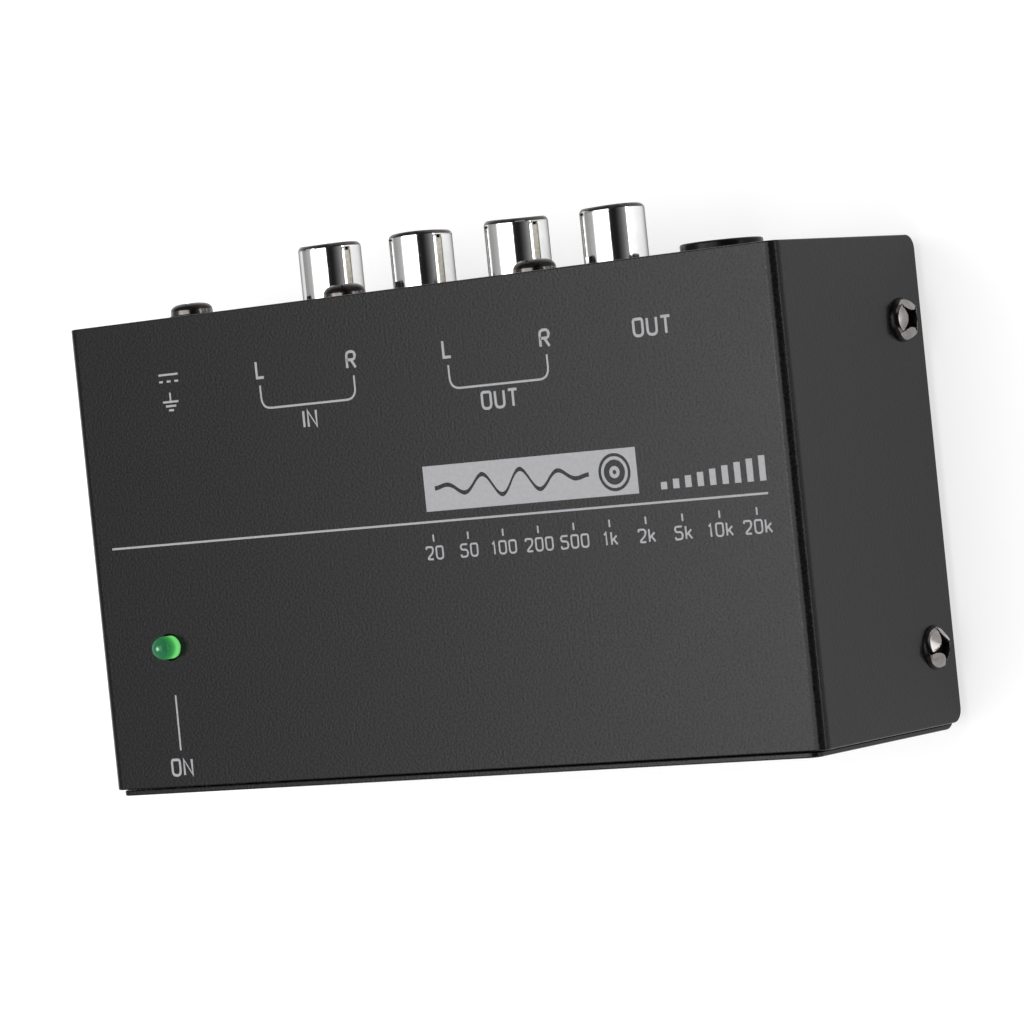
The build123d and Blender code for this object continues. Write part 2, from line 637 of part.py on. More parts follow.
# ---- ground terminal -----------------------------------------------------------------
def ground_washer():
    """Captive washer with a softened rim; it travels with the screw and doesn't turn."""
    inside = M3_RADIUS + WASHER_GAP
    outline = (
        (inside, REAR),
        (WASHER_RADIUS, REAR),
        (WASHER_RADIUS, REAR + WASHER_THICKNESS),
        (inside, REAR + WASHER_THICKNESS),
    )
    return Pos(GROUND_X, 0, GROUND_Z) * turned(outline, rounded=((2, WASHER_ROUND),))


def ground_screw():
    """Terminal screw; its head clamps a ground wire's fork against the panel."""
    screw = Rot(0, GROUND_SCREW_TURN, 0) * pan_screw(GROUND_SCREW_LENGTH, GROUND_SCREW_HEAD)
    return Pos(GROUND_X, REAR + WASHER_THICKNESS, GROUND_Z) * screw


def ground_nut():
    """Hexagonal nut fixed to the inside of the rear wall."""
    plane = Plane(origin=(GROUND_X, REAR_IN, GROUND_Z), x_dir=(1, 0, 0), z_dir=(0, -1, 0))
    nut = extrude(plane * RegularPolygon(NUT_CORNER_RADIUS, 6), NUT_HEIGHT)
    return nut - rod_y(M3_BORE, REAR_IN - NUT_HEIGHT - THROUGH, REAR_IN + THROUGH, GROUND_X, GROUND_Z)


# ---- power light ---------------------------------------------------------------------
def led_lens():
    """Round-nosed lens with a flange at its foot, flat on the side of the shorter lead."""
    flange = rod_z(LED_FLANGE_RADIUS, LED_LOW, LED_LOW + LED_FLANGE_HEIGHT, LED_X, LED_Y)
    flat = Pos(LED_X + LED_FLAT, LED_Y, LED_LOW)
    flange -= flat * Box(LED_RADIUS, 2 * LED_FLANGE_RADIUS, 2 * LED_FLANGE_HEIGHT + THROUGH,
                         align=(Align.MIN, Align.CENTER, Align.CENTER))
    barrel = rod_z(LED_RADIUS, LED_LOW, LED_TOP - LED_RADIUS, LED_X, LED_Y)
    dome = Pos(LED_X, LED_Y, LED_TOP - LED_RADIUS) * Sphere(LED_RADIUS)
    return flange + barrel + dome


def led_leads():
    """Two square wires from the lens down through the board."""
    half = LED_LEAD / 2
    low = BOARD_LOW - LED_LEAD_END
    return Compound(children=[block(x - half, x + half, LED_Y - half, LED_Y + half, low, LED_LOW)
                              for x in LED_LEADS_X])


def led_spacer():
    """Plastic tube that holds the light at the height of the cover."""
    tube = rod_z(SPACER_RADIUS, BOARD_TOP, LED_LOW, LED_X, LED_Y)
    return tube - rod_z(SPACER_BORE, BOARD_TOP - THROUGH, LED_LOW + THROUGH, LED_X, LED_Y)


# ---- parts on the board --------------------------------------------------------------
CHIP_Y = 2.0
CHIP_FOOT = (6.4, 9.4)          # moulding's outline at its lower and upper faces
CHIP_ROOF = (5.7, 8.8)
CHIP_HEIGHT = 3.3
CHIP_STANDOFF = 0.5             # moulding's underside above the board
CHIP_NOTCH = 0.8
CHIP_NOTCH_DEPTH = 0.4
CHIP_LEG_PITCH = 2.54
CHIP_LEG_ROWS = 4
CHIP_LEG_SPREAD = 3.6           # leg's middle from the chip's middle
CHIP_LEG = (0.3, 0.6)           # thickness and width
CHIP_LEG_SHOULDER = 1.8         # leg's shoulder above the moulding's underside

CAN_GROOVE_DEPTH = 0.25
CAN_GROOVE_HEIGHTS = (1.2, 1.6, 2.0)
CAN_BEVEL = 0.4
SUPPLY_CAN = (4.0, 12.0)        # radius and height
SUPPLY_CAN_SPOTS = ((-34.0, 2.5), (-32.0, -6.5))
SIGNAL_CAN = (2.5, 11.0)
SIGNAL_CAN_Y = -8.0
SIGNAL_CANS_X = (-22.0, -10.0, 8.0, 20.0)

FILM_SIZE = (7.2, 2.5, 6.5)
FILM_Y = -18.75
FILM_ROUND = 0.4
FILMS_X = (-20.0, -6.0, 8.0, 22.0)

RESISTOR_CAP = 1.15             # radius of its end caps
RESISTOR_WAIST = 0.95
RESISTOR_HALF = 3.1
RESISTOR_CAP_LENGTH = 1.2
RESISTOR_SLOPE = 0.3
RESISTOR_ROWS_Y = (-13.5, -26.0)
RESISTOR_FIRST_X = -24.0
RESISTOR_STEP = 9.0
RESISTORS_IN_ROW = 6

REGULATOR_SPOT = (-30.75, 10.8)
REGULATOR_WIDTH = 4.5
REGULATOR_DEPTH = 3.6
REGULATOR_HEIGHT = 4.6
REGULATOR_LIFT = 2.0            # body above the board, on its legs
REGULATOR_BEVEL = 1.0
REGULATOR_LEG = 0.4
REGULATOR_LEG_PITCH = 1.25

CHOKE_SPOT = (-32.0, -16.0)
CHOKE_FLANGE = 4.0
CHOKE_WINDING = 3.2
CHOKE_FLANGE_HEIGHT = 1.2
CHOKE_HEIGHT = 7.4


def op_amp(x, y):
    """Eight-leg amplifier chip with sloped sides and a notch at one end."""
    low = BOARD_TOP + CHIP_STANDOFF
    high = low + CHIP_HEIGHT
    chip = loft([Pos(x, y, low) * Rectangle(*CHIP_FOOT), Pos(x, y, high) * Rectangle(*CHIP_ROOF)])
    chip -= rod_z(CHIP_NOTCH, high - CHIP_NOTCH_DEPTH, high + THROUGH, x, y + CHIP_ROOF[1] / 2)
    thickness, width = CHIP_LEG
    shoulder = low + CHIP_LEG_SHOULDER
    for side in (-1, 1):
        leg_x = x + side * CHIP_LEG_SPREAD
        inner_x = x + side * (CHIP_ROOF[0] / 2)
        for row in range(CHIP_LEG_ROWS):
            leg_y = y + (row - (CHIP_LEG_ROWS - 1) / 2) * CHIP_LEG_PITCH
            chip += block(leg_x - thickness / 2, leg_x + thickness / 2,
                          leg_y - width / 2, leg_y + width / 2, BOARD_TOP, shoulder)
            chip += block(min(inner_x, leg_x), max(inner_x, leg_x),
                          leg_y - width / 2, leg_y + width / 2, shoulder - thickness, shoulder)
    return chip


def op_amps():
    """One amplifier chip for each pair of jacks."""
    return Compound(children=[op_amp(x, CHIP_Y).solid() for x in RCA_PAIRS.values()])


def can_capacitor(x, y, radius, height):
    """Upright electrolytic can with a rolled groove near its foot and a bevelled roof."""
    groove_low, groove_mid, groove_high = CAN_GROOVE_HEIGHTS
    outline = (
        (0, 0),
        (radius, 0),
        (radius, groove_low),
        (radius - CAN_GROOVE_DEPTH, groove_mid),
        (radius, groove_high),
        (radius, height - CAN_BEVEL),
        (radius - CAN_BEVEL, height),
        (0, height),
    )
    return stood_up(turned(outline), x, y, BOARD_TOP)


def electrolytic_capacitors():
    """Two tall supply cans by the supply jack and four smaller ones in the signal path."""
    cans = [can_capacitor(x, y, *SUPPLY_CAN) for x, y in SUPPLY_CAN_SPOTS]
    cans += [can_capacitor(x, SIGNAL_CAN_Y, *SIGNAL_CAN) for x in SIGNAL_CANS_X]
    return Compound(children=cans)


def film_capacitors():
    """Boxed film capacitors of the equaliser, two for each channel."""
    boxes = []
    for x in FILMS_X:
        case = Pos(x, FILM_Y, BOARD_TOP) * Box(*FILM_SIZE, align=BASE_ALIGN)
        boxes.append(chamfer(case.edges().group_by(Axis.Z)[-1], FILM_ROUND).solid())
    return Compound(children=boxes)


def resistors():
    """Two rows of small resistors lying on the board, waisted between their end caps."""
    cap_end = RESISTOR_HALF - RESISTOR_CAP_LENGTH
    waist_end = cap_end - RESISTOR_SLOPE
    outline = (
        (0, -RESISTOR_HALF),
        (RESISTOR_CAP, -RESISTOR_HALF),
        (RESISTOR_CAP, -cap_end),
        (RESISTOR_WAIST, -waist_end),
        (RESISTOR_WAIST, waist_end),
        (RESISTOR_CAP, cap_end),
        (RESISTOR_CAP, RESISTOR_HALF),
        (0, RESISTOR_HALF),
    )
    bodies = []
    for row_y in RESISTOR_ROWS_Y:
        for step in range(RESISTORS_IN_ROW):
            x = RESISTOR_FIRST_X + step * RESISTOR_STEP
            bodies.append(Pos(x, row_y, BOARD_TOP + RESISTOR_CAP) * Rot(0, 0, 90) * turned(outline))
    return Compound(children=bodies)


def voltage_regulator():
    """Three-legged regulator standing near the supply jack."""
    x, y = REGULATOR_SPOT
    low = BOARD_TOP + REGULATOR_LIFT
    body = Pos(x, y, low) * Box(REGULATOR_WIDTH, REGULATOR_DEPTH, REGULATOR_HEIGHT, align=BASE_ALIGN)
    body = chamfer(body.edges().filter_by(Axis.Z).group_by(Axis.Y)[0], REGULATOR_BEVEL)
    half = REGULATOR_LEG / 2
    for step in (-1, 0, 1):
        leg_x = x + step * REGULATOR_LEG_PITCH
        body += block(leg_x - half, leg_x + half, y - half, y + half, BOARD_TOP, low + half)
    return body


def supply_choke():
    """Wound choke of the supply filter: two flanges with a winding between them."""
    outline = (
        (0, 0),
        (CHOKE_FLANGE, 0),
        (CHOKE_FLANGE, CHOKE_FLANGE_HEIGHT),
        (CHOKE_WINDING, CHOKE_FLANGE_HEIGHT),
        (CHOKE_WINDING, CHOKE_HEIGHT - CHOKE_FLANGE_HEIGHT),
        (CHOKE_FLANGE, CHOKE_HEIGHT - CHOKE_FLANGE_HEIGHT),
        (CHOKE_FLANGE, CHOKE_HEIGHT),
        (0, CHOKE_HEIGHT),
    )
    return stood_up(turned(outline), *CHOKE_SPOT, BOARD_TOP)


# ---- the assembly --------------------------------------------------------------------
def main():
    os.makedirs("parts", exist_ok=True)
    write("base_chassis", base_chassis())
    write("top_cover", top_cover())
    write("cover_screws", cover_screws())

    for row, y in (("front", FRONT + FOOT_INSET_Y), ("rear", REAR - FOOT_INSET_Y)):
        for side, x in (("left", -SIDE + FOOT_INSET_X), ("right", SIDE - FOOT_INSET_X)):
            write(f"foot_{row}_{side}", rubber_foot(x, y))

    write("board_standoffs", board_standoffs())
    write("board_screws", board_screws())
    write("circuit_board", circuit_board())

    for pair, pair_x in RCA_PAIRS.items():
        write(f"rca_block_{pair}", rca_block(pair_x))
        for side, side_x in RCA_SIDES.items():
            write(f"rca_shell_{pair}_{side}", rca_shell(pair_x + side_x))
            write(f"rca_insulator_{pair}_{side}", rca_insulator(pair_x + side_x))
            write(f"rca_contact_{pair}_{side}", rca_contact(pair_x + side_x))
    write("rca_block_screws", rca_block_screws())

    write("trs_body", trs_body())
    for name, place in zip(("trs_tip_spring", "trs_ring_spring"), trs_springs()):
        write(name, trs_spring(*place))
    write("trs_sleeve_contact", trs_sleeve_contact())

    write("dc_jack_body", dc_jack_body())
    write("dc_jack_pin", dc_jack_pin())
    write("dc_jack_spring", dc_jack_spring())

    write("ground_screw", ground_screw())
    write("ground_washer", ground_washer())
    write("ground_nut", ground_nut())

    write("led_lens", led_lens())
    write("led_leads", led_leads())
    write("led_spacer", led_spacer())

    write("op_amps", op_amps())
    write("electrolytic_capacitors", electrolytic_capacitors())
    write("film_capacitors", film_capacitors())
    write("resistors", resistors())
    write("voltage_regulator", voltage_regulator())
    write("supply_choke", supply_choke())


main()
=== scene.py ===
"""Phono preamp: a folded steel box, its jacks, its prints and the plain studio that it stands in.

Metres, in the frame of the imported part: +X along the width, +Y to the rear wall, +Z up.
"""

import math

import bmesh
import bpy
from mathutils import Matrix, Vector


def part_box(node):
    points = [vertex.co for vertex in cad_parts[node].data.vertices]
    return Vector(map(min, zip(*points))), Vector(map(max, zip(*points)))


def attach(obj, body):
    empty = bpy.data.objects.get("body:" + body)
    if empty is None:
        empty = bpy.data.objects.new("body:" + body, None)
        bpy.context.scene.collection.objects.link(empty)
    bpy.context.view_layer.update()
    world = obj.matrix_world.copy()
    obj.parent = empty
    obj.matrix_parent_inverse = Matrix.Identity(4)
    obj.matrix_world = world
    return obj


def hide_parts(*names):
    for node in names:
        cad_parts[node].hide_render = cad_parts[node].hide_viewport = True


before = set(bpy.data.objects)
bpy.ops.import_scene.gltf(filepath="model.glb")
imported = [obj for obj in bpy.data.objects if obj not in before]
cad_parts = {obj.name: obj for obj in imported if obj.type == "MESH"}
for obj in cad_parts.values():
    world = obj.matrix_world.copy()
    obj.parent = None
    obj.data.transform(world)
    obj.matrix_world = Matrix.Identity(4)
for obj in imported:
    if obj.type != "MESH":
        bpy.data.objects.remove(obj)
bpy.context.view_layer.update()
MM = 0.001

# ---- folded steel case -------------------------------------------------------------------
# The cover and the base are two strips of 0.7 mm steel, folded and then powder coated.
# The coat is satin black and dries with a fine orange peel, flatter where it flowed together.
CASE = "case"
COAT_TONES = ((0.30, (0.0030, 0.0030, 0.0032)), (0.75, (0.0100, 0.0101, 0.0106)))    # peel's level, tint
COAT_PEEL = 0.36 * MM           # distance from one dimple of the orange peel to the next
COAT_DRIFT = 9.0 * MM           # size of the broad patches where the coat lies thicker
COAT_GLOSS = (0.17, 0.23)       # roughness between the smoothest and the dullest spots
COAT_SPECULAR = 0.19
COAT_RELIEF = 0.020 * MM

case_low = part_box("base_chassis")[0]
cover_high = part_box("top_cover")[1]
FRONT = case_low.y
TOP = cover_high.z


def node_adder(tree):
    """Function that adds a node to a tree; of its settings, sockets are linked and values are set."""

    def add(kind, **settings):
        node = tree.nodes.new(kind)
        for key, value in settings.items():
            socket = key.replace("_", " ")
            if isinstance(value, bpy.types.NodeSocket):
                tree.links.new(value, node.inputs[socket])
            elif socket in node.inputs:
                node.inputs[socket].default_value = value
            else:
                setattr(node, key, value)
        return node

    return add


def new_finish(name):
    """Empty material with a Principled shader; gives it, its shader, its linker and its adder."""
    finish = bpy.data.materials.new(name)
    finish.use_nodes = True
    tree = finish.node_tree
    return finish, tree.nodes["Principled BSDF"], tree.links.new, node_adder(tree)


def fill_ramp(ramp, tones):
    """Give a colour ramp its stops; tones are (place, colour) in rising order."""
    stops = ramp.color_ramp.elements
    for index, (place, colour) in enumerate(tones):
        stop = stops[index] if index < len(stops) else stops.new(place)
        stop.position = place
        stop.color = (*colour, 1.0)


def powder_coat():
    """Satin black coat: orange peel over broad, faint changes of gloss."""
    finish, shader, link, add = new_finish("satin_powder_coat")
    place = add("ShaderNodeTexCoord").outputs["Object"]
    peel = add("ShaderNodeTexNoise", Vector=place, Scale=1 / COAT_PEEL, Detail=2.0, Roughness=0.5)
    drift = add("ShaderNodeTexNoise", Vector=place, Scale=1 / COAT_DRIFT, Detail=4.0, Roughness=0.6)
    tint = add("ShaderNodeValToRGB", Fac=peel.outputs["Fac"])
    fill_ramp(tint, COAT_TONES)
    link(tint.outputs["Color"], shader.inputs["Base Color"])
    dullness = add("ShaderNodeMapRange", Value=drift.outputs["Fac"],
                   To_Min=COAT_GLOSS[0], To_Max=COAT_GLOSS[1])
    link(dullness.outputs["Result"], shader.inputs["Roughness"])
    bump = add("ShaderNodeBump", Height=peel.outputs["Fac"], Distance=COAT_RELIEF, Strength=1.0)
    link(bump.outputs["Normal"], shader.inputs["Normal"])
    shader.inputs["Specular IOR Level"].default_value = COAT_SPECULAR
    return finish


def dress(finish, *names):
    """Give CAD nodes a finish in place of the plain one that they came with."""
    for name in names:
        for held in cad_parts[name].material_slots:
            held.material = finish


dress(powder_coat(), "top_cover", "base_chassis")

# ---- prints on the cover -----------------------------------------------------------------
# Light grey ink, screen printed on the coat: channel letters, brackets, a long rule, the light's
# mark, a plain frequency scale, a level meter and a plate with a record and a wave left bare in it.
INK_THICKNESS = 0.020 * MM
INK_SUNK = 0.010 * MM           # ink's foot below the cover's face
INK_STEP = 0.002 * MM           # each stroke of a mark lies this much higher than the one before
INK_STEPS = 4                   # after so many strokes the steps start again
GRAIN_SPOTS = (0.35, 0.65)      # a grainy finish changes from one tint to the other between these
STROKE = 0.27 * MM
LETTER_STROKE = 0.35 * MM
MITRE_LIMIT = 0.62              # a bend whose half turn has a smaller cosine gets a blunter mitre
BEND_STEPS = 6
PRINT_TILT = math.radians(-0.35)     # the screen sat slightly askew on the cover
LABEL_HEIGHT = 2.05 * MM
LETTER_WIDTH = 0.64             # widths, corners and gaps of the letters are shares of their height
NARROW_LETTERS = {"I": 0.0, "L": 0.54, "1": 0.36, "k": 0.56}
LETTER_ROUND = 0.30
LETTER_GAP = 0.34
SHARP_LETTERS = "LINTk1"        # their corners aren't rounded

# strokes of each letter, in shares of its width and its height
OVAL = [(0.5, 1), (1, 1), (1, 0), (0, 0), (0, 1), (0.5, 1)]
GLYPHS = {
    "L": [[(0, 1), (0, 0), (1, 0)]],
    "R": [[(0, 0), (0, 1), (1, 1), (1, 0.5), (0, 0.5)], [(0.5, 0.5), (1, 0)]],
    "I": [[(0, 1), (0, 0)]],
    "N": [[(0, 0), (0, 1), (1, 0), (1, 1)]],
    "O": [OVAL],
    "U": [[(0, 1), (0, 0), (1, 0), (1, 1)]],
    "T": [[(0, 1), (1, 1)], [(0.5, 1), (0.5, 0)]],
    "k": [[(0, 1), (0, 0)], [(0.9, 0.7), (0, 0.28)], [(0.35, 0.42), (0.95, 0)]],
    "0": [OVAL],
    "1": [[(0.1, 0.8), (0.6, 1), (0.6, 0)]],
    "2": [[(0, 0.8), (0, 1), (1, 1), (1, 0.55), (0, 0), (1, 0)]],
    "5": [[(1, 1), (0, 1), (0, 0.57), (1, 0.57), (1, 0), (0, 0), (0, 0.2)]],
}


def rounded(path, radius):
    """Path with each inner corner swung round in a short arc."""
    points = [Vector(point) for point in path]
    if radius <= 0 or len(points) < 3:
        return points
    smooth = [points[0]]
    for before, corner, after in zip(points, points[1:], points[2:]):
        arm_in, arm_out = before - corner, after - corner
        reach = min(radius, arm_in.length / 2, arm_out.length / 2)
        start = corner + arm_in.normalized() * reach
        end = corner + arm_out.normalized() * reach
        for step in range(BEND_STEPS + 1):
            t = step / BEND_STEPS
            smooth.append(start * (1 - t) ** 2 + corner * 2 * t * (1 - t) + end * t ** 2)
    return smooth + [points[-1]]


def skin(mesh, rings):
    """Quads from each ring of vertices to the next; gives each quad's row, column and face."""
    quads = []
    for row, (near_ring, far_ring) in enumerate(zip(rings, rings[1:])):
        for column, start in enumerate(near_ring):
            after = (column + 1) % len(near_ring)
            face = mesh.faces.new((start, near_ring[after], far_ring[after], far_ring[column]))
            quads.append((row, column, face))
    return quads


def ribbon(mesh, path, width, level):
    """Closed flat prism along a path on the cover, mitred at its bends and raised by its level."""
    low, high = TOP - INK_SUNK, TOP + INK_THICKNESS + level
    rings = []
    for index, point in enumerate(path):
        along_in = (point - path[index - 1]).normalized() if index else None
        along_out = (path[index + 1] - point).normalized() if index + 1 < len(path) else None
        ahead = along_out or along_in
        along = ((along_in or along_out) + ahead).normalized()
        across = Vector((-along.y, along.x))
        side = across * width / 2 / max(along.dot(ahead), MITRE_LIMIT)
        left, right = point + side, point - side
        corners = ((left, low), (right, low), (right, high), (left, high))
        rings.append([mesh.verts.new((spot.x, spot.y, z)) for spot, z in corners])
    skin(mesh, rings)
    mesh.faces.new(rings[0])
    mesh.faces.new(rings[-1][::-1])


def tilted(x, y):
    """Place on the cover of a spot on the print's screen: x from the middle, y from the front."""
    return Vector((x, FRONT + y + x * math.sin(PRINT_TILT)))


def finished(name, mesh, *finishes, smooth=True):
    """Object in the scene from a bmesh, with its normals outside and its finishes on."""
    bmesh.ops.recalc_face_normals(mesh, faces=mesh.faces)
    data = bpy.data.meshes.new(name)
    mesh.to_mesh(data)
    mesh.free()
    for finish in finishes:
        data.materials.append(finish)
    if smooth:
        data.shade_smooth()
    piece = bpy.data.objects.new(name, data)
    bpy.context.scene.collection.objects.link(piece)
    return piece


def printed(name, strokes, width=STROKE):
    """One printed mark on the cover from strokes of (x, y) in metres on the screen."""
    mesh = bmesh.new()
    for order, stroke in enumerate(strokes):
        ribbon(mesh, [tilted(*spot) for spot in stroke], width, (order % INK_STEPS) * INK_STEP)
    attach(finished(name, mesh, ink, smooth=False), CASE)


def lettering(text, centre, foot, height):
    """Strokes of a word or number; centre is the middle of the row and foot its lower line."""
    widths = [NARROW_LETTERS.get(letter, LETTER_WIDTH) for letter in text]
    total = sum(widths) + LETTER_GAP * (len(text) - 1)
    start = centre - total * height / 2
    strokes = []
    for letter, wide in zip(text, widths):
        radius = 0 if letter in SHARP_LETTERS else LETTER_ROUND * height
        for path in GLYPHS[letter]:
            placed = [(start + u * wide * height, foot + v * height) for u, v in path]
            strokes.append(rounded(placed, radius))
        start += (wide + LETTER_GAP) * height
    return strokes


def grainy(name, tints, grain, gloss, relief=0.0, metallic=0.0, specular=0.5):
    """Finish whose tint, gloss and relief wander together with a fine noise of the given grain."""
    finish, shader, link, add = new_finish(name)
    place = add("ShaderNodeTexCoord").outputs["Object"]
    fine = add("ShaderNodeTexNoise", Vector=place, Scale=1 / grain, Detail=3.0, Roughness=0.55)
    level = fine.outputs["Fac"]
    tint = add("ShaderNodeValToRGB", Fac=level)
    fill_ramp(tint, zip(GRAIN_SPOTS, tints))
    link(tint.outputs["Color"], shader.inputs["Base Color"])
    dullness = add("ShaderNodeMapRange", Value=level, To_Min=gloss[0], To_Max=gloss[1])
    link(dullness.outputs["Result"], shader.inputs["Roughness"])
    if relief:
        bump = add("ShaderNodeBump", Height=level, Distance=relief, Strength=1.0)
        link(bump.outputs["Normal"], shader.inputs["Normal"])
    shader.inputs["Metallic"].default_value = metallic
    shader.inputs["Specular IOR Level"].default_value = specular
    return finish


ink = grainy("light_grey_ink", tints=((0.335, 0.335, 0.350), (0.365, 0.365, 0.380)), grain=0.5 * MM,
             gloss=(0.5, 0.65), relief=0.002 * MM, specular=0.3)

# channel letters: where each stands at the input pair and at the output pair
CHANNELS = {"L": (-23.65 * MM, 5.97 * MM), "R": (-9.0 * MM, 20.84 * MM)}
CHANNEL_FOOT = 52.85 * MM
for letter, spots in CHANNELS.items():
    for pair, x in zip(("in", "out"), spots):
        strokes = lettering(letter, x, CHANNEL_FOOT, LABEL_HEIGHT)
        printed(f"print_{letter}_{pair}", strokes, width=LETTER_STROKE)

# brackets under the letters: ends, word and the word's middle
BRACKETS = {
    "in": (-23.85 * MM, -8.79 * MM, "IN", -16.37 * MM),
    "out": (5.98 * MM, 20.94 * MM, "OUT", 13.26 * MM),
}
BRACKET_TOP = 51.85 * MM
BRACKET_LOW = 48.85 * MM
BRACKET_ROUND = 1.8 * MM
BRACKET_WORD_FOOT = 45.94 * MM
for pair, (left, right, word, word_x) in BRACKETS.items():
    corners = [(left, BRACKET_TOP), (left, BRACKET_LOW), (right, BRACKET_LOW), (right, BRACKET_TOP)]
    printed(f"print_bracket_{pair}", [rounded(corners, BRACKET_ROUND)])
    label = lettering(word, word_x, BRACKET_WORD_FOOT, LABEL_HEIGHT)
    printed(f"print_word_{pair}", label, width=LETTER_STROKE)

# words at the quarter-inch jack and at the light, the light's mark line and the long rule
LONE_WORDS = {"OUT": (36.7 * MM, 52.87 * MM), "ON": (-43.06 * MM, 2.10 * MM)}
LIGHT_MARK = [(-42.96 * MM, 12.64 * MM), (-43.01 * MM, 5.36 * MM)]
RULE_LEFT, RULE_RIGHT = -51.07 * MM, 50.74 * MM
RULE_Y = 32.43 * MM
for word, (x, foot) in LONE_WORDS.items():
    printed(f"print_word_{word}", lettering(word, x, foot, LABEL_HEIGHT), width=LETTER_STROKE)
printed("print_light_mark", [LIGHT_MARK])
printed("print_rule", [[(RULE_LEFT, RULE_Y), (RULE_RIGHT, RULE_Y)]])

# direct current: a solid bar over three dashes; earth: a stem on three shrinking bars
DC_X, DC_Y = -38.72 * MM, 54.12 * MM
DC_HALF = 1.6 * MM
DC_RISE = 0.45 * MM             # from the symbol's middle to the bar, and down to the dashes
DC_DASHES = 3
EARTH_Y = 51.0 * MM
EARTH_STEM = 1.2 * MM
EARTH_STEP = 0.55 * MM
EARTH_HALVES = (1.3 * MM, 0.85 * MM, 0.4 * MM)
dash = 2 * DC_HALF / (2 * DC_DASHES - 1)
current = [[(DC_X - DC_HALF, DC_Y + DC_RISE), (DC_X + DC_HALF, DC_Y + DC_RISE)]]
for k in range(DC_DASHES):
    x = DC_X - DC_HALF + 2 * k * dash
    current.append([(x, DC_Y - DC_RISE), (x + dash, DC_Y - DC_RISE)])
printed("print_direct_current", current)

earth = [[(DC_X, EARTH_Y + EARTH_STEM), (DC_X, EARTH_Y)]]
for k, half in enumerate(EARTH_HALVES):
    y = EARTH_Y - k * EARTH_STEP
    earth.append([(DC_X - half, y), (DC_X + half, y)])
printed("print_earth", earth)

# frequency scale: a tick above each plain number
SCALE = ("20", "50", "100", "200", "500", "1k", "2k", "5k", "10k", "20k")
SCALE_LEFT, SCALE_RIGHT = 1.0 * MM, 48.9 * MM
SCALE_FOOT = 27.74 * MM
SCALE_HEIGHT = 1.55 * MM
SCALE_STROKE = 0.24 * MM
TICK_LOW, TICK_HIGH = 2.2 * MM, 3.1 * MM     # above the numbers' foot
scale = []
for order, number in enumerate(SCALE):
    x = SCALE_LEFT + (SCALE_RIGHT - SCALE_LEFT) * order / (len(SCALE) - 1)
    scale.append([(x, SCALE_FOOT + TICK_LOW), (x, SCALE_FOOT + TICK_HIGH)])
    scale += lettering(number, x, SCALE_FOOT, SCALE_HEIGHT)
printed("print_scale", scale, width=SCALE_STROKE)

# level meter: bars that grow to the right
METER_BARS = 9
METER_LEFT, METER_RIGHT = 36.12 * MM, 50.28 * MM
METER_FOOT = 33.97 * MM
METER_LEAST = 0.9 * MM          # height of the first bar
METER_GROWTH = 0.27 * MM
METER_STROKE = 0.9 * MM
meter = []
for bar in range(METER_BARS):
    x = METER_LEFT + (METER_RIGHT - METER_LEFT) * bar / (METER_BARS - 1)
    meter.append([(x, METER_FOOT), (x, METER_FOOT + METER_LEAST + METER_GROWTH * bar)])
printed("print_meter", meter, width=METER_STROKE)

# plate: filled with ink, with a record's rings and a wave left out of it
PLATE_LEFT, PLATE_RIGHT = 0.4 * MM, 32.43 * MM
PLATE_LOW, PLATE_HIGH = 33.74 * MM, 39.46 * MM
RECORD_X = 29.13 * MM
RECORD_RINGS = (2.35 * MM, 1.95 * MM, 1.55 * MM, 0.75 * MM, 0.28 * MM)
RECORD_SIDES = 48
WAVE_LEFT, WAVE_RIGHT = 2.0 * MM, 25.35 * MM
WAVE_SWINGS = 4
WAVE_HEIGHT = 1.5 * MM
WAVE_WIDTH = 0.55 * MM
WAVE_STEPS = 96
SAME_SPOT = 1e-7                # vertices nearer than this are one


def plate_outlines():
    """Closed outlines of the plate: its edge, then the shapes left bare and filled again in turn."""
    middle = (PLATE_LOW + PLATE_HIGH) / 2
    yield [(PLATE_LEFT, PLATE_LOW), (PLATE_RIGHT, PLATE_LOW),
           (PLATE_RIGHT, PLATE_HIGH), (PLATE_LEFT, PLATE_HIGH)]
    turns = [2 * math.pi * k / RECORD_SIDES for k in range(RECORD_SIDES)]
    for radius in RECORD_RINGS:
        yield [(RECORD_X + radius * math.cos(turn), middle + radius * math.sin(turn)) for turn in turns]
    upper, lower = [], []
    for step in range(WAVE_STEPS + 1):
        t = step / WAVE_STEPS
        swell = math.sin(math.pi * t)
        x = WAVE_LEFT + (WAVE_RIGHT - WAVE_LEFT) * t
        y = middle + WAVE_HEIGHT * swell * math.sin(2 * math.pi * WAVE_SWINGS * t)
        upper.append((x, y + WAVE_WIDTH / 2))
        lower.append((x, y - WAVE_WIDTH / 2))
    yield upper + lower[::-1]


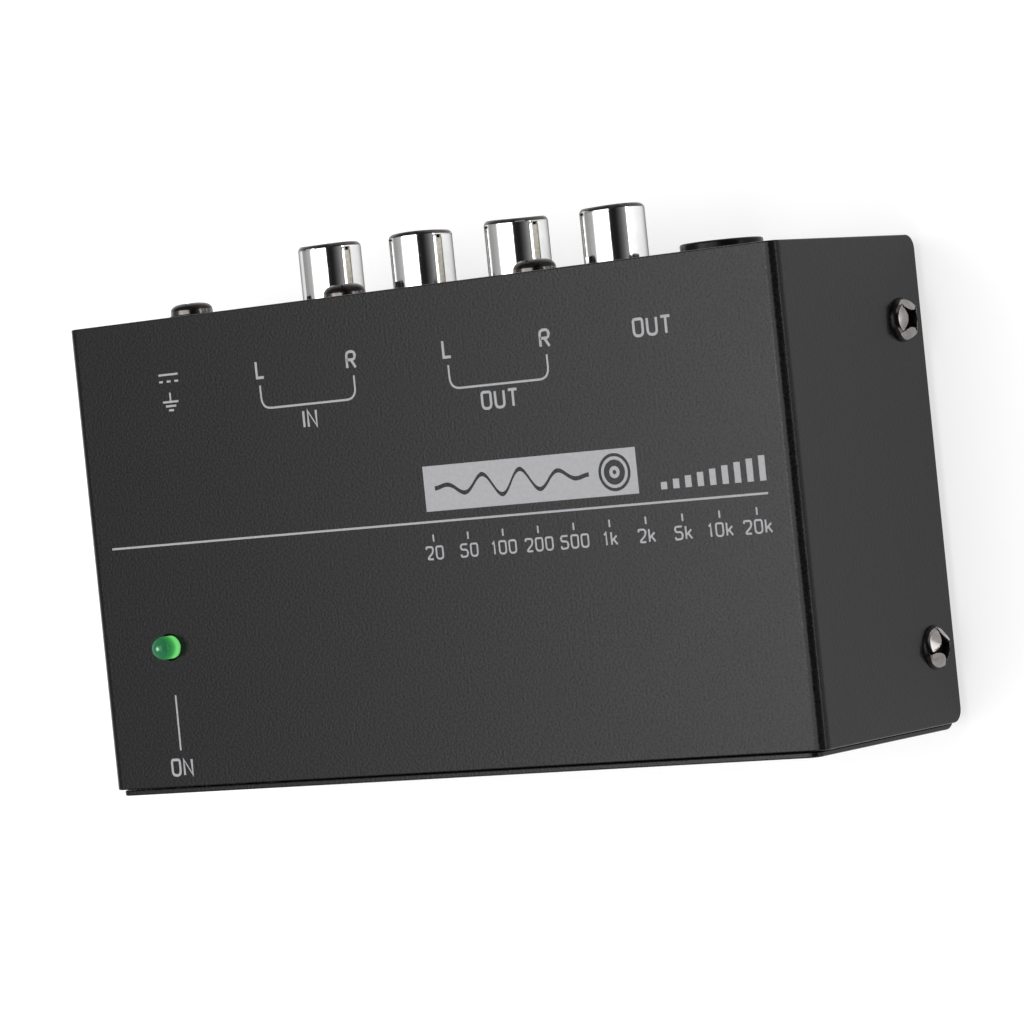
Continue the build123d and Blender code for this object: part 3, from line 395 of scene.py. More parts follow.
plate_curve = bpy.data.curves.new("print_plate", "CURVE")
plate_curve.dimensions = "2D"
plate_curve.fill_mode = "BOTH"
plate_curve.extrude = (INK_THICKNESS + INK_SUNK) / 2
for outline in plate_outlines():
    spline = plate_curve.splines.new("POLY")
    spline.points.add(len(outline) - 1)
    for point, spot in zip(spline.points, outline):
        placed = tilted(*spot)
        point.co = (placed.x, placed.y, 0, 1)
    spline.use_cyclic_u = True
plate_shape = bpy.data.objects.new("plate_shape", plate_curve)
bpy.context.scene.collection.objects.link(plate_shape)
bpy.context.view_layer.update()
plate_mesh = bmesh.new()
plate_mesh.from_mesh(bpy.data.meshes.new_from_object(plate_shape))
bmesh.ops.remove_doubles(plate_mesh, verts=plate_mesh.verts, dist=SAME_SPOT)
bmesh.ops.translate(plate_mesh, verts=plate_mesh.verts,
                    vec=(0, 0, TOP + (INK_THICKNESS - INK_SUNK) / 2))
bpy.data.objects.remove(plate_shape)
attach(finished("print_plate", plate_mesh, ink, smooth=False), CASE)

# ---- cover screws and panel screws -------------------------------------------------------
# Pressed pan heads with cross recesses, polished and plated in black nickel. Four hold the cover
# and have four flat pads round the cross; two hold the phono jacks and have plain domed heads.
HEAD_RADIUS = 2.80 * MM
HEAD_HEIGHT = 1.9 * MM
PANEL_HEAD_HEIGHT = 1.88 * MM
DOME_POWER = 3.2                # exponent of a domed head's outline: 2 is an ellipse, more is squarer
CROWN_SHARE = 0.40              # share of the radius at which a cover head's crown meets its pads
PAD_SHARE = 0.84                # share of the radius at which the pads meet the steep edge
PAD_BEND = 0.04                 # how much a pad steepens on its way out
EDGE_POWER = 0.6                # exponent of the steep edge: less is squarer
RECESS_REACH = 2.60 * MM        # tip of one arm of the cross
RECESS_CURL = 0.52              # exponent of the cross's outline: less is a thinner cross
RECESS_DEPTH = 1.3 * MM
RECESS_RISE = 0.35              # share of its depth that the recess has lost at an arm's tip
RECESS_WALL = 0.16              # width of its wall, in the measure of cross_reach
LIP_REACH = 1.06                # the cross with its rounded lips, in the same measure
EDGE_FROM = 0.92                # share of the radius past which a cover head's edge is painted dark, as painted shade
REAR_EDGE_FROM = 0.985          # a domed head's face is painted dark as painted shade, and plated bright round its side only
HEAD_FOOT = 0.98                # share of the radius at the seat
HEAD_ROWS = 46
HEAD_COLUMNS = 96
HEAD_CREASE = math.radians(50)
SHANK_RADIUS = 1.45 * MM
SHANK_LENGTH = 6.0 * MM
THREAD_PITCH = 0.5 * MM
THREAD_DEPTH = 0.27 * MM
THREAD_ROWS = 12                # rows to one pitch
COVER_TURNS = ((15, 0.68), (40, 0.55))   # degrees that a cover screw is turned, slope of its pads
PANEL_TURNS = (30, 8)
FACE, RECESS, RIM = range(3)    # a screw's material slots


def cross_reach(radius, turn):
    """How far out of the cross a spot lies: below 1 in it, above 1 outside."""
    across, along = abs(radius * math.cos(turn)), abs(radius * math.sin(turn))
    return (across / RECESS_REACH) ** RECESS_CURL + (along / RECESS_REACH) ** RECESS_CURL


def padded_face(share, turn, slope):
    """Height of a cover screw's face: low crown, four sloping pads, steep edge."""
    aside = (turn + math.pi / 4) % (math.pi / 2) - math.pi / 4
    off_pad = math.pi / 4 - abs(aside)
    crown = min(share, CROWN_SHARE)
    pad = min(max(share - CROWN_SHARE, 0.0), PAD_SHARE - CROWN_SHARE)
    drop = slope * crown * crown / (2 * CROWN_SHARE) + slope * pad + PAD_BEND * pad * pad
    left = HEAD_HEIGHT - drop * math.cos(off_pad) * HEAD_RADIUS
    past = max(share - PAD_SHARE, 0.0) / (1 - PAD_SHARE)
    return left * (1 - past) ** EDGE_POWER


def domed_face(share, full):
    """Height of a domed screw's face."""
    return full * (1 - share ** DOME_POWER) ** (1 / DOME_POWER)


def head_height(radius, turn, full, slope):
    """Height of the head's face over its seat, with its cross recess; slope is None on a dome."""
    share = min(radius / HEAD_RADIUS, 1.0)
    face = padded_face(share, turn, slope) if slope else domed_face(share, full)
    wall = min(max((LIP_REACH - cross_reach(radius, turn)) / RECESS_WALL, 0.0), 1.0)
    floor = RECESS_DEPTH * (1 - RECESS_RISE * min(radius / RECESS_REACH, 1.0))
    return face - wall * wall * (3 - 2 * wall) * min(floor, face)


def row_radius(row):
    """Radius of a row of the head's face; the rows crowd towards its steep edge."""
    return HEAD_RADIUS * math.sin(math.pi / 2 * min(row / HEAD_ROWS, 1.0))


def add_screw(mesh, place, out, turn, slope, length, threaded, full):
    """Add one screw on a seat; out points from the seat to the face, and its recess turns from +Z."""
    up = Vector((0, 0, 1))
    side = out.cross(up)
    turned = math.radians(turn)
    angles = [2 * math.pi * k / HEAD_COLUMNS for k in range(HEAD_COLUMNS)]

    def spot(radius, angle, height):
        around = up * math.cos(angle) + side * math.sin(angle)
        return mesh.verts.new(place + around * radius + out * height)

    rings = []
    for row in range(1, HEAD_ROWS + 1):
        radius = row_radius(row)
        rings.append([spot(radius, a, head_height(radius, a - turned, full, slope)) for a in angles])
    rings.append([spot(HEAD_RADIUS * HEAD_FOOT, a, 0) for a in angles])
    rows = int(length / THREAD_PITCH * THREAD_ROWS) if threaded else 1
    for row in range(rows + 1):
        depth = length * row / rows
        ring = []
        for a in angles:
            phase = (depth / THREAD_PITCH + a / (2 * math.pi)) % 1.0
            groove = THREAD_DEPTH * (1 - abs(2 * phase - 1)) if threaded else 0.0
            ring.append(spot(SHANK_RADIUS - groove, a, -depth))
        rings.append(ring)
    centre = mesh.verts.new(place + out * head_height(0.0, 0.0, full, slope))
    for start, after in zip(rings[0], rings[0][1:] + rings[0][:1]):
        mesh.faces.new((centre, start, after)).material_index = RECESS
    rim_from = HEAD_RADIUS * (EDGE_FROM if slope else REAR_EDGE_FROM)
    for row, column, face in skin(mesh, rings):
        radius = row_radius(row + 1.5)
        angle = angles[column] + math.pi / HEAD_COLUMNS - turned
        if cross_reach(radius, angle) < LIP_REACH:
            face.material_index = RECESS
        else:
            face.material_index = RIM if radius > rim_from else FACE
    mesh.faces.new(rings[-1])


def screw_set(name, node, body, screws, face, rim, length=SHANK_LENGTH, threaded=False, full=HEAD_HEIGHT):
    """All screws of one node as one piece; each is (place, out, turn, slope)."""
    mesh = bmesh.new()
    for place, out, turn, slope in screws:
        add_screw(mesh, place, out, turn, slope, length, threaded, full)
    piece = finished(name, mesh, face, recess_shade, rim)
    piece.data.set_sharp_from_angle(angle=HEAD_CREASE)
    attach(piece, body)
    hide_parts(node)


black_nickel = grainy("black_nickel", tints=((0.190, 0.179, 0.173), (0.270, 0.254, 0.245)),
                      grain=1.1 * MM, gloss=(0.06, 0.12), relief=0.002 * MM, metallic=1.0)
rear_nickel = grainy("rear_nickel", tints=((0.085, 0.078, 0.073), (0.135, 0.125, 0.117)),
                     grain=0.9 * MM, gloss=(0.14, 0.22), relief=0.002 * MM, metallic=1.0)
# Painted shade: this near-black finish darkens a cover head's steep edge and a domed head's face in place
# of the reflections they would show; the ground washer wears it as its black plating.
dark_plate_painted_shade = grainy("dark_plate_painted_shade", tints=((0.012, 0.011, 0.011), (0.030, 0.027, 0.026)),
                    grain=0.5 * MM, gloss=(0.25, 0.4), metallic=1.0)
recess_shade = grainy("recess_shade", tints=((0.002, 0.002, 0.002), (0.005, 0.005, 0.005)),
                      grain=0.4 * MM, gloss=(0.45, 0.6), specular=0.06)

TO_RIGHT, TO_REAR = Vector((1, 0, 0)), Vector((0, 1, 0))
screws_low, screws_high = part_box("cover_screws")
screw_z = (screws_low.z + screws_high.z) / 2
cover_set = []
for side in (-1, 1):
    for y, (turn, slope) in zip((screws_low.y + HEAD_RADIUS, screws_high.y - HEAD_RADIUS), COVER_TURNS):
        cover_set.append((Vector((side * cover_high.x, y, screw_z)), TO_RIGHT * side, turn, slope))
screw_set("cover_screws_plated", "cover_screws", CASE, cover_set, black_nickel, dark_plate_painted_shade)

panel_low, panel_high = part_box("rca_block_screws")
panel_y = panel_high.y - HEAD_HEIGHT
panel_z = panel_high.z - HEAD_RADIUS
panel_set = [(Vector((x, panel_y, panel_z)), TO_REAR, turn, None)
             for x, turn in zip((panel_low.x + HEAD_RADIUS, panel_high.x - HEAD_RADIUS), PANEL_TURNS)]
screw_set("panel_screws_plated", "rca_block_screws", CASE, panel_set, dark_plate_painted_shade, rear_nickel,
          full=PANEL_HEAD_HEIGHT)

# ---- ground terminal ---------------------------------------------------------------------
# A screw with a lower domed head that turns in a nut fixed inside the rear wall, and clamps a bare
# wire under its captive washer. The screw and washer are plated black, the steel nut with zinc; the
# screw's face is darkened further with painted shade.
GROUND_HEAD_HEIGHT = 1.5 * MM
GROUND_LENGTH = 8.0 * MM
GROUND_TURN = 20
ground_low, ground_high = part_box("ground_screw")
ground_seat = Vector(((ground_low.x + ground_high.x) / 2, ground_high.y - GROUND_HEAD_HEIGHT,
                      (ground_low.z + ground_high.z) / 2))
screw_set("ground_screw_plated", "ground_screw", "terminal_screw",
          [(ground_seat, TO_REAR, GROUND_TURN, None)], dark_plate_painted_shade, rear_nickel,
          length=GROUND_LENGTH, threaded=True, full=GROUND_HEAD_HEIGHT)
dress(dark_plate_painted_shade, "ground_washer")
zinc = grainy("zinc_plate", tints=((0.5, 0.5, 0.5), (0.66, 0.66, 0.65)), grain=0.8 * MM,
              gloss=(0.28, 0.42), relief=0.003 * MM, metallic=1.0)
dress(zinc, "ground_nut")

# ---- feet --------------------------------------------------------------------------------
# Four feet stamped from black rubber sheet, matt and slightly dusty. Each is stuck to the base
# near a corner.
rubber = grainy("foot_rubber", tints=((0.012, 0.012, 0.012), (0.024, 0.024, 0.023)), grain=0.35 * MM,
                gloss=(0.7, 0.9), relief=0.02 * MM, specular=0.3)
dress(rubber, "foot_front_left", "foot_front_right", "foot_rear_left", "foot_rear_right")

# ---- phono jacks -------------------------------------------------------------------------
# Each sleeve is rolled from brass sheet and nickelled: its open seam ends in a relief hole behind the
# rounded mouth, and a square notch at its root keys it in the wall. A moulded block carries each
# pair, and a coloured insulator holds a tinned contact in each sleeve.
SLEEVE_RADIUS = 4.15 * MM
SLEEVE_WALL = 0.35 * MM
SLEEVE_REACH = 7.7 * MM         # sleeve outside the rear wall
SLEEVE_SLOPE = 0.4 * MM         # length of the slope down to the neck in the wall
SLEEVE_ROUND = 0.72 * MM        # radius of the lip's curl, which ends in a flat cut
SLEEVE_COLUMNS = 120
SLEEVE_ROWS = 10                # along the plain barrel
SLEEVE_CREASE = math.radians(32)
LIP_SWEEP = math.radians(62)
LIP_ROWS = 6
LIP_INSIDE = 3.65 * MM          # the lip curls in a little past the wall's inside
LIP_DARK = 0.44 * MM            # the outermost band of the curl, darkened with painted shade
LIP_WAVE = 0.13 * MM            # the mouth isn't quite flat
SEAM_TURN = math.radians(70.5)  # from straight up towards +X
SEAM_WIDTH = 0.86 * MM
SEAM_DEPTH = 0.07 * MM
HOLE_WIDTH = 0.66 * MM
HOLE_NEAR, HOLE_FAR = 0.68 * MM, 1.12 * MM     # relief hole's ends behind the mouth
CUT_DEPTH = 0.30 * MM           # a hole or a notch is drawn as a pit of this depth, darkened with painted shade
CUT_DROP = 0.02 * MM            # length over which a pit's end drops
CUT_SWING = 0.028               # turn in radians over which its side drops
FLANK_SHADE_TINT = (0.22, 0.22, 0.22, 1.0)     # nickel's reflection dips a little at a slant; this deeper dip is painted shade on the flanks
SLEEVES = {                     # seamed or not; its notch's turn in degrees, width and length
    "input_left": (True, (-19, 0.8 * MM, 1.05 * MM)),
    "input_right": (True, (-24, 1.4 * MM, 1.45 * MM)),
    "output_left": (True, None),
    "output_right": (False, (-26, 1.4 * MM, 1.45 * MM)),
}
NO_NOTCH = (0, 1.0 * MM, 1.0 * MM)      # lays out the rows and columns where no notch is cut
TURN_DIGITS = 6                         # columns whose turns agree to so many digits are one
SLACK = 1e-9                            # rounding allowed where two places are compared
SEAM, CUT, LIP = 1, 2, 3                # material slots of a sleeve after its plain barrel's


def within(turn, centre, width):
    """Whether a turn lies in a band of the given width that runs along the sleeve."""
    apart = abs((turn - centre + math.pi) % (2 * math.pi) - math.pi)
    return apart <= width / 2 / SLEEVE_RADIUS + SLACK


def sleeve_turns(bands):
    """Turns of a sleeve's columns: even ones, and two on each side of each (centre, width) band."""
    turns = {round(2 * math.pi * k / SLEEVE_COLUMNS, TURN_DIGITS) for k in range(SLEEVE_COLUMNS)}
    for centre, width in bands:
        half = width / 2 / SLEEVE_RADIUS
        turns |= {round((centre + side * reach) % (2 * math.pi), TURN_DIGITS)
                  for side in (-1, 1) for reach in (half, half + CUT_SWING)}
    return sorted(turns)


def sleeve(name, seamed, notch):
    """Rolled sleeve as a closed shell, laid out in rows along the axis and columns round it."""
    low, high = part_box(f"rca_shell_{name}")
    x_mid, z_mid = (low.x + high.x) / 2, (low.z + high.z) / 2
    root, mouth = low.y, high.y
    wall = mouth - SLEEVE_REACH
    shoulder = wall + SLEEVE_SLOPE
    inside = SLEEVE_RADIUS - SLEEVE_WALL     # of the barrel, and outside of the neck
    notch_degrees, notch_width, notch_length = notch or NO_NOTCH
    notch_turn, notch_end = math.radians(notch_degrees), wall + notch_length

    def barrel_radius(y, turn):
        """Radius of the barrel's outside: less in the notch, the relief hole and the seam."""
        behind = mouth - y
        if notch and within(turn, notch_turn, notch_width) and y <= notch_end + SLACK:
            return SLEEVE_RADIUS - CUT_DEPTH
        in_hole = HOLE_NEAR - SLACK <= behind <= HOLE_FAR + SLACK
        if seamed and in_hole and within(turn, SEAM_TURN, HOLE_WIDTH):
            return SLEEVE_RADIUS - CUT_DEPTH
        if seamed and behind >= HOLE_NEAR and within(turn, SEAM_TURN, SEAM_WIDTH):
            return SLEEVE_RADIUS - SEAM_DEPTH
        return SLEEVE_RADIUS

    def lip_wave(turn):
        return LIP_WAVE * (0.5 + 0.5 * math.sin(2 * turn + x_mid / MM))

    barrel = [shoulder, notch_end, notch_end + CUT_DROP]
    plain = mouth - HOLE_FAR - barrel[-1]
    barrel += [barrel[-1] + plain * k / SLEEVE_ROWS for k in range(1, SLEEVE_ROWS)]
    barrel += [mouth - HOLE_FAR - CUT_DROP, mouth - HOLE_FAR, mouth - HOLE_NEAR,
               mouth - HOLE_NEAR + CUT_DROP]
    neck_rows = [(inside - SLEEVE_WALL, root), (inside, root), (inside, wall)]
    lip_rows = []
    for row in range(LIP_ROWS + 1):
        bend = LIP_SWEEP * row / LIP_ROWS
        lip_rows.append((SLEEVE_RADIUS - SLEEVE_ROUND * (1 - math.cos(bend)),
                         mouth - SLEEVE_ROUND * (math.sin(LIP_SWEEP) - math.sin(bend))))
    lip_rows += [(LIP_INSIDE, mouth), (inside, mouth - SLEEVE_ROUND)]
    inner_rows = [(inside, shoulder), (inside - SLEEVE_WALL, wall)]

    turns = sleeve_turns(((SEAM_TURN, SEAM_WIDTH), (SEAM_TURN, HOLE_WIDTH), (notch_turn, notch_width)))
    mesh = bmesh.new()

    def ring(spots):
        return [mesh.verts.new((x_mid + radius * math.sin(turn), y, z_mid + radius * math.cos(turn)))
                for turn, (radius, y) in zip(turns, spots)]

    rings = [ring([row] * len(turns)) for row in neck_rows]
    rings += [ring([(barrel_radius(y, turn), y) for turn in turns]) for y in barrel]
    rings += [ring([(radius, y - lip_wave(turn)) for turn in turns]) for radius, y in lip_rows]
    rings += [ring([row] * len(turns)) for row in inner_rows]
    for _, _, face in skin(mesh, rings + rings[:1]):
        middle = face.calc_center_median()
        out = math.hypot(middle.x - x_mid, middle.z - z_mid)
        turn = math.atan2(middle.x - x_mid, middle.z - z_mid)
        if shoulder < middle.y < mouth - HOLE_NEAR and out > inside + CUT_DROP:
            if out < SLEEVE_RADIUS - CUT_DEPTH + CUT_DROP:
                face.material_index = CUT
            elif seamed and within(turn, SEAM_TURN, SEAM_WIDTH):
                face.material_index = SEAM
        elif middle.y > mouth - LIP_DARK - LIP_WAVE:
            face.material_index = LIP
    piece = finished(f"sleeve_{name}", mesh, bright_nickel, seam_brass, cut_shade, lip_painted_shade)
    piece.data.set_sharp_from_angle(angle=SLEEVE_CREASE)
    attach(piece, CASE)
    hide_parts(f"rca_shell_{name}")


bright_nickel = grainy("bright_nickel", tints=((0.86, 0.855, 0.85), (0.91, 0.905, 0.90)),
                       grain=2.2 * MM, gloss=(0.07, 0.11), metallic=1.0)
bright_nickel.node_tree.nodes["Principled BSDF"].inputs["Specular Tint"].default_value = FLANK_SHADE_TINT
seam_brass = grainy("seam_brass", tints=((0.56, 0.53, 0.46), (0.72, 0.69, 0.61)), grain=0.6 * MM,
                    gloss=(0.34, 0.46), relief=0.006 * MM, metallic=1.0)
# Painted shade: near-black nickel on the lip's outermost band draws a dark line all round the mouth.
lip_painted_shade = grainy("lip_painted_shade", tints=((0.045, 0.043, 0.041), (0.090, 0.087, 0.083)),
                    grain=0.8 * MM, gloss=(0.20, 0.30), metallic=1.0)
# Painted shade: the notches' and relief holes' pits get this near-black finish in place of the shade
# inside them.
cut_shade = grainy("painted_pit_shade", tints=((0.012, 0.011, 0.010), (0.022, 0.020, 0.018)),
                   grain=0.3 * MM, gloss=(0.5, 0.65), specular=0.05)
for sleeve_name, (seamed, notch) in SLEEVES.items():
    sleeve(sleeve_name, seamed, notch)

white_core = grainy("white_insulator", tints=((0.62, 0.61, 0.58), (0.70, 0.69, 0.66)),
                    grain=0.9 * MM, gloss=(0.3, 0.45), relief=0.004 * MM)
red_core = grainy("red_insulator", tints=((0.34, 0.012, 0.010), (0.42, 0.020, 0.016)),
                  grain=0.9 * MM, gloss=(0.3, 0.45), relief=0.004 * MM)
tinned = grainy("tinned_bronze", tints=((0.58, 0.55, 0.50), (0.70, 0.67, 0.61)), grain=0.7 * MM,
                gloss=(0.2, 0.32), relief=0.002 * MM, metallic=1.0)
moulding = grainy("black_moulding", tints=((0.010, 0.010, 0.010), (0.017, 0.017, 0.017)),
                  grain=0.25 * MM, gloss=(0.45, 0.6), relief=0.01 * MM, specular=0.45)
dress(white_core, "rca_insulator_input_left", "rca_insulator_output_left")
dress(red_core, "rca_insulator_input_right", "rca_insulator_output_right")
dress(tinned, *(f"rca_contact_{name}" for name in SLEEVES))
dress(moulding, "rca_block_input", "rca_block_output")

# ---- quarter-inch jack -------------------------------------------------------------------
# A glossy black thermoplastic body whose round nose comes through the wall; leaf springs of
# tinned bronze reach the bore through windows in its sides.
glossy = grainy("gloss_black_moulding", tints=((0.004, 0.004, 0.004), (0.008, 0.008, 0.008)),
                grain=1.5 * MM, gloss=(0.20, 0.28), relief=0.003 * MM, specular=0.12)
dress(glossy, "trs_body")
dress(tinned, "trs_tip_spring", "trs_ring_spring", "trs_sleeve_contact")

# ---- supply jack -------------------------------------------------------------------------
# A black moulded socket that stands on the board behind the wall's hole. Its nickelled centre pin
# is riveted at the back, and a flat tinned spring presses on the plug's barrel.
pin_nickel = grainy("pin_nickel", tints=((0.72, 0.71, 0.68), (0.80, 0.79, 0.76)), grain=0.9 * MM,
                    gloss=(0.12, 0.2), metallic=1.0)
dress(moulding, "dc_jack_body")
dress(pin_nickel, "dc_jack_pin")
dress(tinned, "dc_jack_spring")

# ---- power light -------------------------------------------------------------------------
# A 3 mm light cast in green epoxy, held at the cover's hole by a nylon spacer on its two leads.
# It is lit: the epoxy glows most where it leaves the cover, and the die shines through its nose.
LENS_RADIUS = 1.5 * MM
FLANGE_RADIUS = 1.9 * MM
FLANGE_HEIGHT = 1.0 * MM
FLANGE_FLAT = 1.55 * MM         # the flat on the flange marks the shorter lead
LENS_COLUMNS = 72
NOSE_ROWS = 24
LENS_CREASE = math.radians(50)
LENS_SUNK = 0.4 * MM            # the tones start this far below the cover's face
LENS_TIP = (0.012, 0.105, 0.040)
LENS_WAIST = (0.050, 0.370, 0.080)
LENS_FOOT = (0.200, 0.780, 0.210)
LENS_SHADE = (0.001, 0.006, 0.002)      # below the cover, where no light falls on it
LENS_TONES = (                  # share of the way up to the nose, and the tint there
    (0.03, LENS_SHADE), (0.07, LENS_FOOT), (0.24, LENS_FOOT), (0.48, LENS_WAIST), (0.8, LENS_TIP),
)
LENS_CLOUD = 0.8 * MM           # grain of the faint clouds in the epoxy
LENS_SWAY = 0.05                # how far a cloud shifts the tones
LENS_GLOSS = (0.03, 0.06)
LENS_SPECULAR = 0.2
LENS_LIGHT = 0.55
DIE_SHIFT = 0.20 * MM           # the die shines out of the nose a little off its middle
DIE_SIZE = (0.03 * MM, 0.36 * MM)       # its glow is full within the first and gone past the second
DIE_GLOW = (0.75, 1.20, 0.88)
lens_low, lens_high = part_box("led_lens")
lens_x = lens_low.x + FLANGE_RADIUS
lens_y = (lens_low.y + lens_high.y) / 2


def lens_epoxy():
    """Green epoxy that glows near the cover and at the die, and is deep and clear at its nose."""
    finish, shader, link, add = new_finish("green_epoxy")
    place = add("ShaderNodeTexCoord").outputs["Object"]
    height = add("ShaderNodeSeparateXYZ", Vector=place).outputs["Z"]
    rise = add("ShaderNodeMapRange", Value=height, From_Min=TOP - LENS_SUNK, From_Max=lens_high.z)
    cloud = add("ShaderNodeTexNoise", Vector=place, Scale=1 / LENS_CLOUD, Detail=2.0)
    sway = add("ShaderNodeMapRange", Value=cloud.outputs["Fac"], To_Min=-LENS_SWAY, To_Max=LENS_SWAY)
    clouded = add("ShaderNodeMath")
    link(rise.outputs["Result"], clouded.inputs[0])
    link(sway.outputs["Result"], clouded.inputs[1])
    tint = add("ShaderNodeValToRGB", Fac=clouded.outputs[0])
    fill_ramp(tint, LENS_TONES)
    link(tint.outputs["Color"], shader.inputs["Base Color"])
    to_die = add("ShaderNodeVectorMath", operation="DISTANCE")
    link(place, to_die.inputs[0])
    to_die.inputs[1].default_value = (lens_x + DIE_SHIFT, lens_y, lens_high.z)
    die = add("ShaderNodeMapRange", interpolation_type="SMOOTHSTEP", Value=to_die.outputs["Value"],
              From_Min=DIE_SIZE[0], From_Max=DIE_SIZE[1], To_Min=1.0, To_Max=0.0)
    glow = add("ShaderNodeMix", data_type="RGBA")
    link(die.outputs["Result"], glow.inputs["Factor"])
    link(tint.outputs["Color"], glow.inputs[6])
    glow.inputs[7].default_value = (*DIE_GLOW, 1.0)
    link(glow.outputs[2], shader.inputs["Emission Color"])
    dullness = add("ShaderNodeMapRange", Value=cloud.outputs["Fac"],
                   To_Min=LENS_GLOSS[0], To_Max=LENS_GLOSS[1])
    link(dullness.outputs["Result"], shader.inputs["Roughness"])
    shader.inputs["Emission Strength"].default_value = LENS_LIGHT
    shader.inputs["Specular IOR Level"].default_value = LENS_SPECULAR
    return finish


lens_profile = [(FLANGE_RADIUS, lens_low.z), (FLANGE_RADIUS, lens_low.z + FLANGE_HEIGHT),
                (LENS_RADIUS, lens_low.z + FLANGE_HEIGHT)]
for row in range(NOSE_ROWS):
    rise = math.pi / 2 * row / NOSE_ROWS
    lens_profile.append((LENS_RADIUS * math.cos(rise),
                         lens_high.z - LENS_RADIUS + LENS_RADIUS * math.sin(rise)))
lens_turns = [2 * math.pi * k / LENS_COLUMNS for k in range(LENS_COLUMNS)]
lens_mesh = bmesh.new()
lens_rings = []
for radius, z in lens_profile:
    lens_rings.append([lens_mesh.verts.new((lens_x + min(radius * math.cos(a), FLANGE_FLAT),
                                            lens_y + radius * math.sin(a), z)) for a in lens_turns])
skin(lens_mesh, lens_rings)
lens_mesh.faces.new(lens_rings[0][::-1])
nose = lens_mesh.verts.new((lens_x, lens_y, lens_high.z))
for start, after in zip(lens_rings[-1], lens_rings[-1][1:] + lens_rings[-1][:1]):
    lens_mesh.faces.new((start, after, nose))
lens = finished("light_lens", lens_mesh, lens_epoxy())
lens.data.set_sharp_from_angle(angle=LENS_CREASE)
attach(lens, CASE)
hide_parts("led_lens")
nylon = grainy("white_nylon", tints=((0.62, 0.62, 0.60), (0.70, 0.70, 0.68)), grain=0.6 * MM,
               gloss=(0.4, 0.55), relief=0.004 * MM)
dress(tinned, "led_leads")
dress(nylon, "led_spacer")

# ---- circuit board and its parts ---------------------------------------------------------
# Glass laminate under green solder mask, screwed to zinc-plated standoffs. It carries plastic-cased
# chips, sleeved cans, boxed film capacitors, lacquered resistors and a wound choke.
BOARD_FINISHES = {              # finish, its two tints and its gloss
    "op_amps": ("chip_epoxy", (0.014, 0.014, 0.015), (0.024, 0.024, 0.025), (0.5, 0.65)),
    "voltage_regulator": ("regulator_epoxy", (0.014, 0.014, 0.015), (0.026, 0.026, 0.027), (0.5, 0.65)),
    "electrolytic_capacitors": ("can_sleeve", (0.010, 0.014, 0.045), (0.016, 0.021, 0.062), (0.25, 0.4)),
    "film_capacitors": ("film_case", (0.36, 0.055, 0.020), (0.44, 0.075, 0.030), (0.3, 0.45)),
    "resistors": ("resistor_lacquer", (0.10, 0.28, 0.42), (0.14, 0.34, 0.48), (0.35, 0.5)),
    "supply_choke": ("enamelled_wire", (0.34, 0.12, 0.035), (0.50, 0.20, 0.060), (0.25, 0.4)),
}
for node, (finish_name, dark, pale, gloss) in BOARD_FINISHES.items():
    dress(grainy(finish_name, tints=(dark, pale), grain=0.4 * MM, gloss=gloss, relief=0.008 * MM), node)
mask = grainy("green_solder_mask", tints=((0.008, 0.085, 0.030), (0.014, 0.125, 0.045)),
              grain=1.4 * MM, gloss=(0.25, 0.4), relief=0.01 * MM)
dress(mask, "circuit_board")
dress(zinc, "board_standoffs", "board_screws")

# ---- studio ------------------------------------------------------------------------------
# A pale floor that ends in a white sweep, under one large soft box with a small bright core, a
# little to the object's left. The plain room round it is feathered light left of the soft box
# and dark to its right, with a pale front wall and a darker rear wall.
FLOOR_HALF = 4.0
FLOOR_DROP = 0.05 * MM          # the floor lies this far under the feet
FLOOR_TINT = (0.80, 0.80, 0.80, 1.0)     # what the floor gives back to the object
FLOOR_SEEN = (0.42, 0.42, 0.42, 1.0)     # what is seen of it, on top of a plain white
FLOOR_LIFT = 0.70
ROOM_BRIGHTEST = 5.0
ROOM = (                        # degrees from straight up towards +X, radiance
    (-90, 0.95), (-86, 0.95), (-84, 0.34), (-67, 0.34), (-56, 0.42), (-46, 0.44), (-42, 0.55),
    (-39, 0.95), (-36, 2.1), (-33, 3.6), (-30, 4.6), (-28, 0.30), (20, 0.20), (23, 0.012),
    (42, 0.012), (47, 0.023), (55, 0.063), (62, 0.108), (70, 0.196), (82, 0.33), (86, 0.95),
    (90, 0.95),
)
ROOM_ENDS = (0.42, 0.60)        # over this slant the room gives way to its front or rear wall
FRONT_RADIANCE = 0.55
REAR_RADIANCE = 0.32
SWEEP_TOP = (0.10, 0.13)        # sine of the height at which the white sweep behind the floor ends
SWEEP_RIGHT = 4.5               # radiance of the sweep's right end, which the lamps strike most
SWEEP_TURN = (0.80, 0.97)       # cosine of the turn from +X over which it rises to that
WHITE = (1.0, 1.0, 1.0, 1.0)


def mixed(add, link, share, first, second):
    """Mix of two shaders; share is the socket that says how much of the second there is."""
    mix = add("ShaderNodeMixShader")
    link(share, mix.inputs[0])
    link(first.outputs[0], mix.inputs[1])
    link(second.outputs[0], mix.inputs[2])
    return mix


def seen_by(add, link, *kinds):
    """1 for the given kinds of ray and 0 for every other kind."""
    light_path = add("ShaderNodeLightPath")
    total = light_path.outputs[kinds[0]]
    for kind in kinds[1:]:
        larger = add("ShaderNodeMath", operation="MAXIMUM")
        link(total, larger.inputs[0])
        link(light_path.outputs[kind], larger.inputs[1])
        total = larger.outputs[0]
    return total


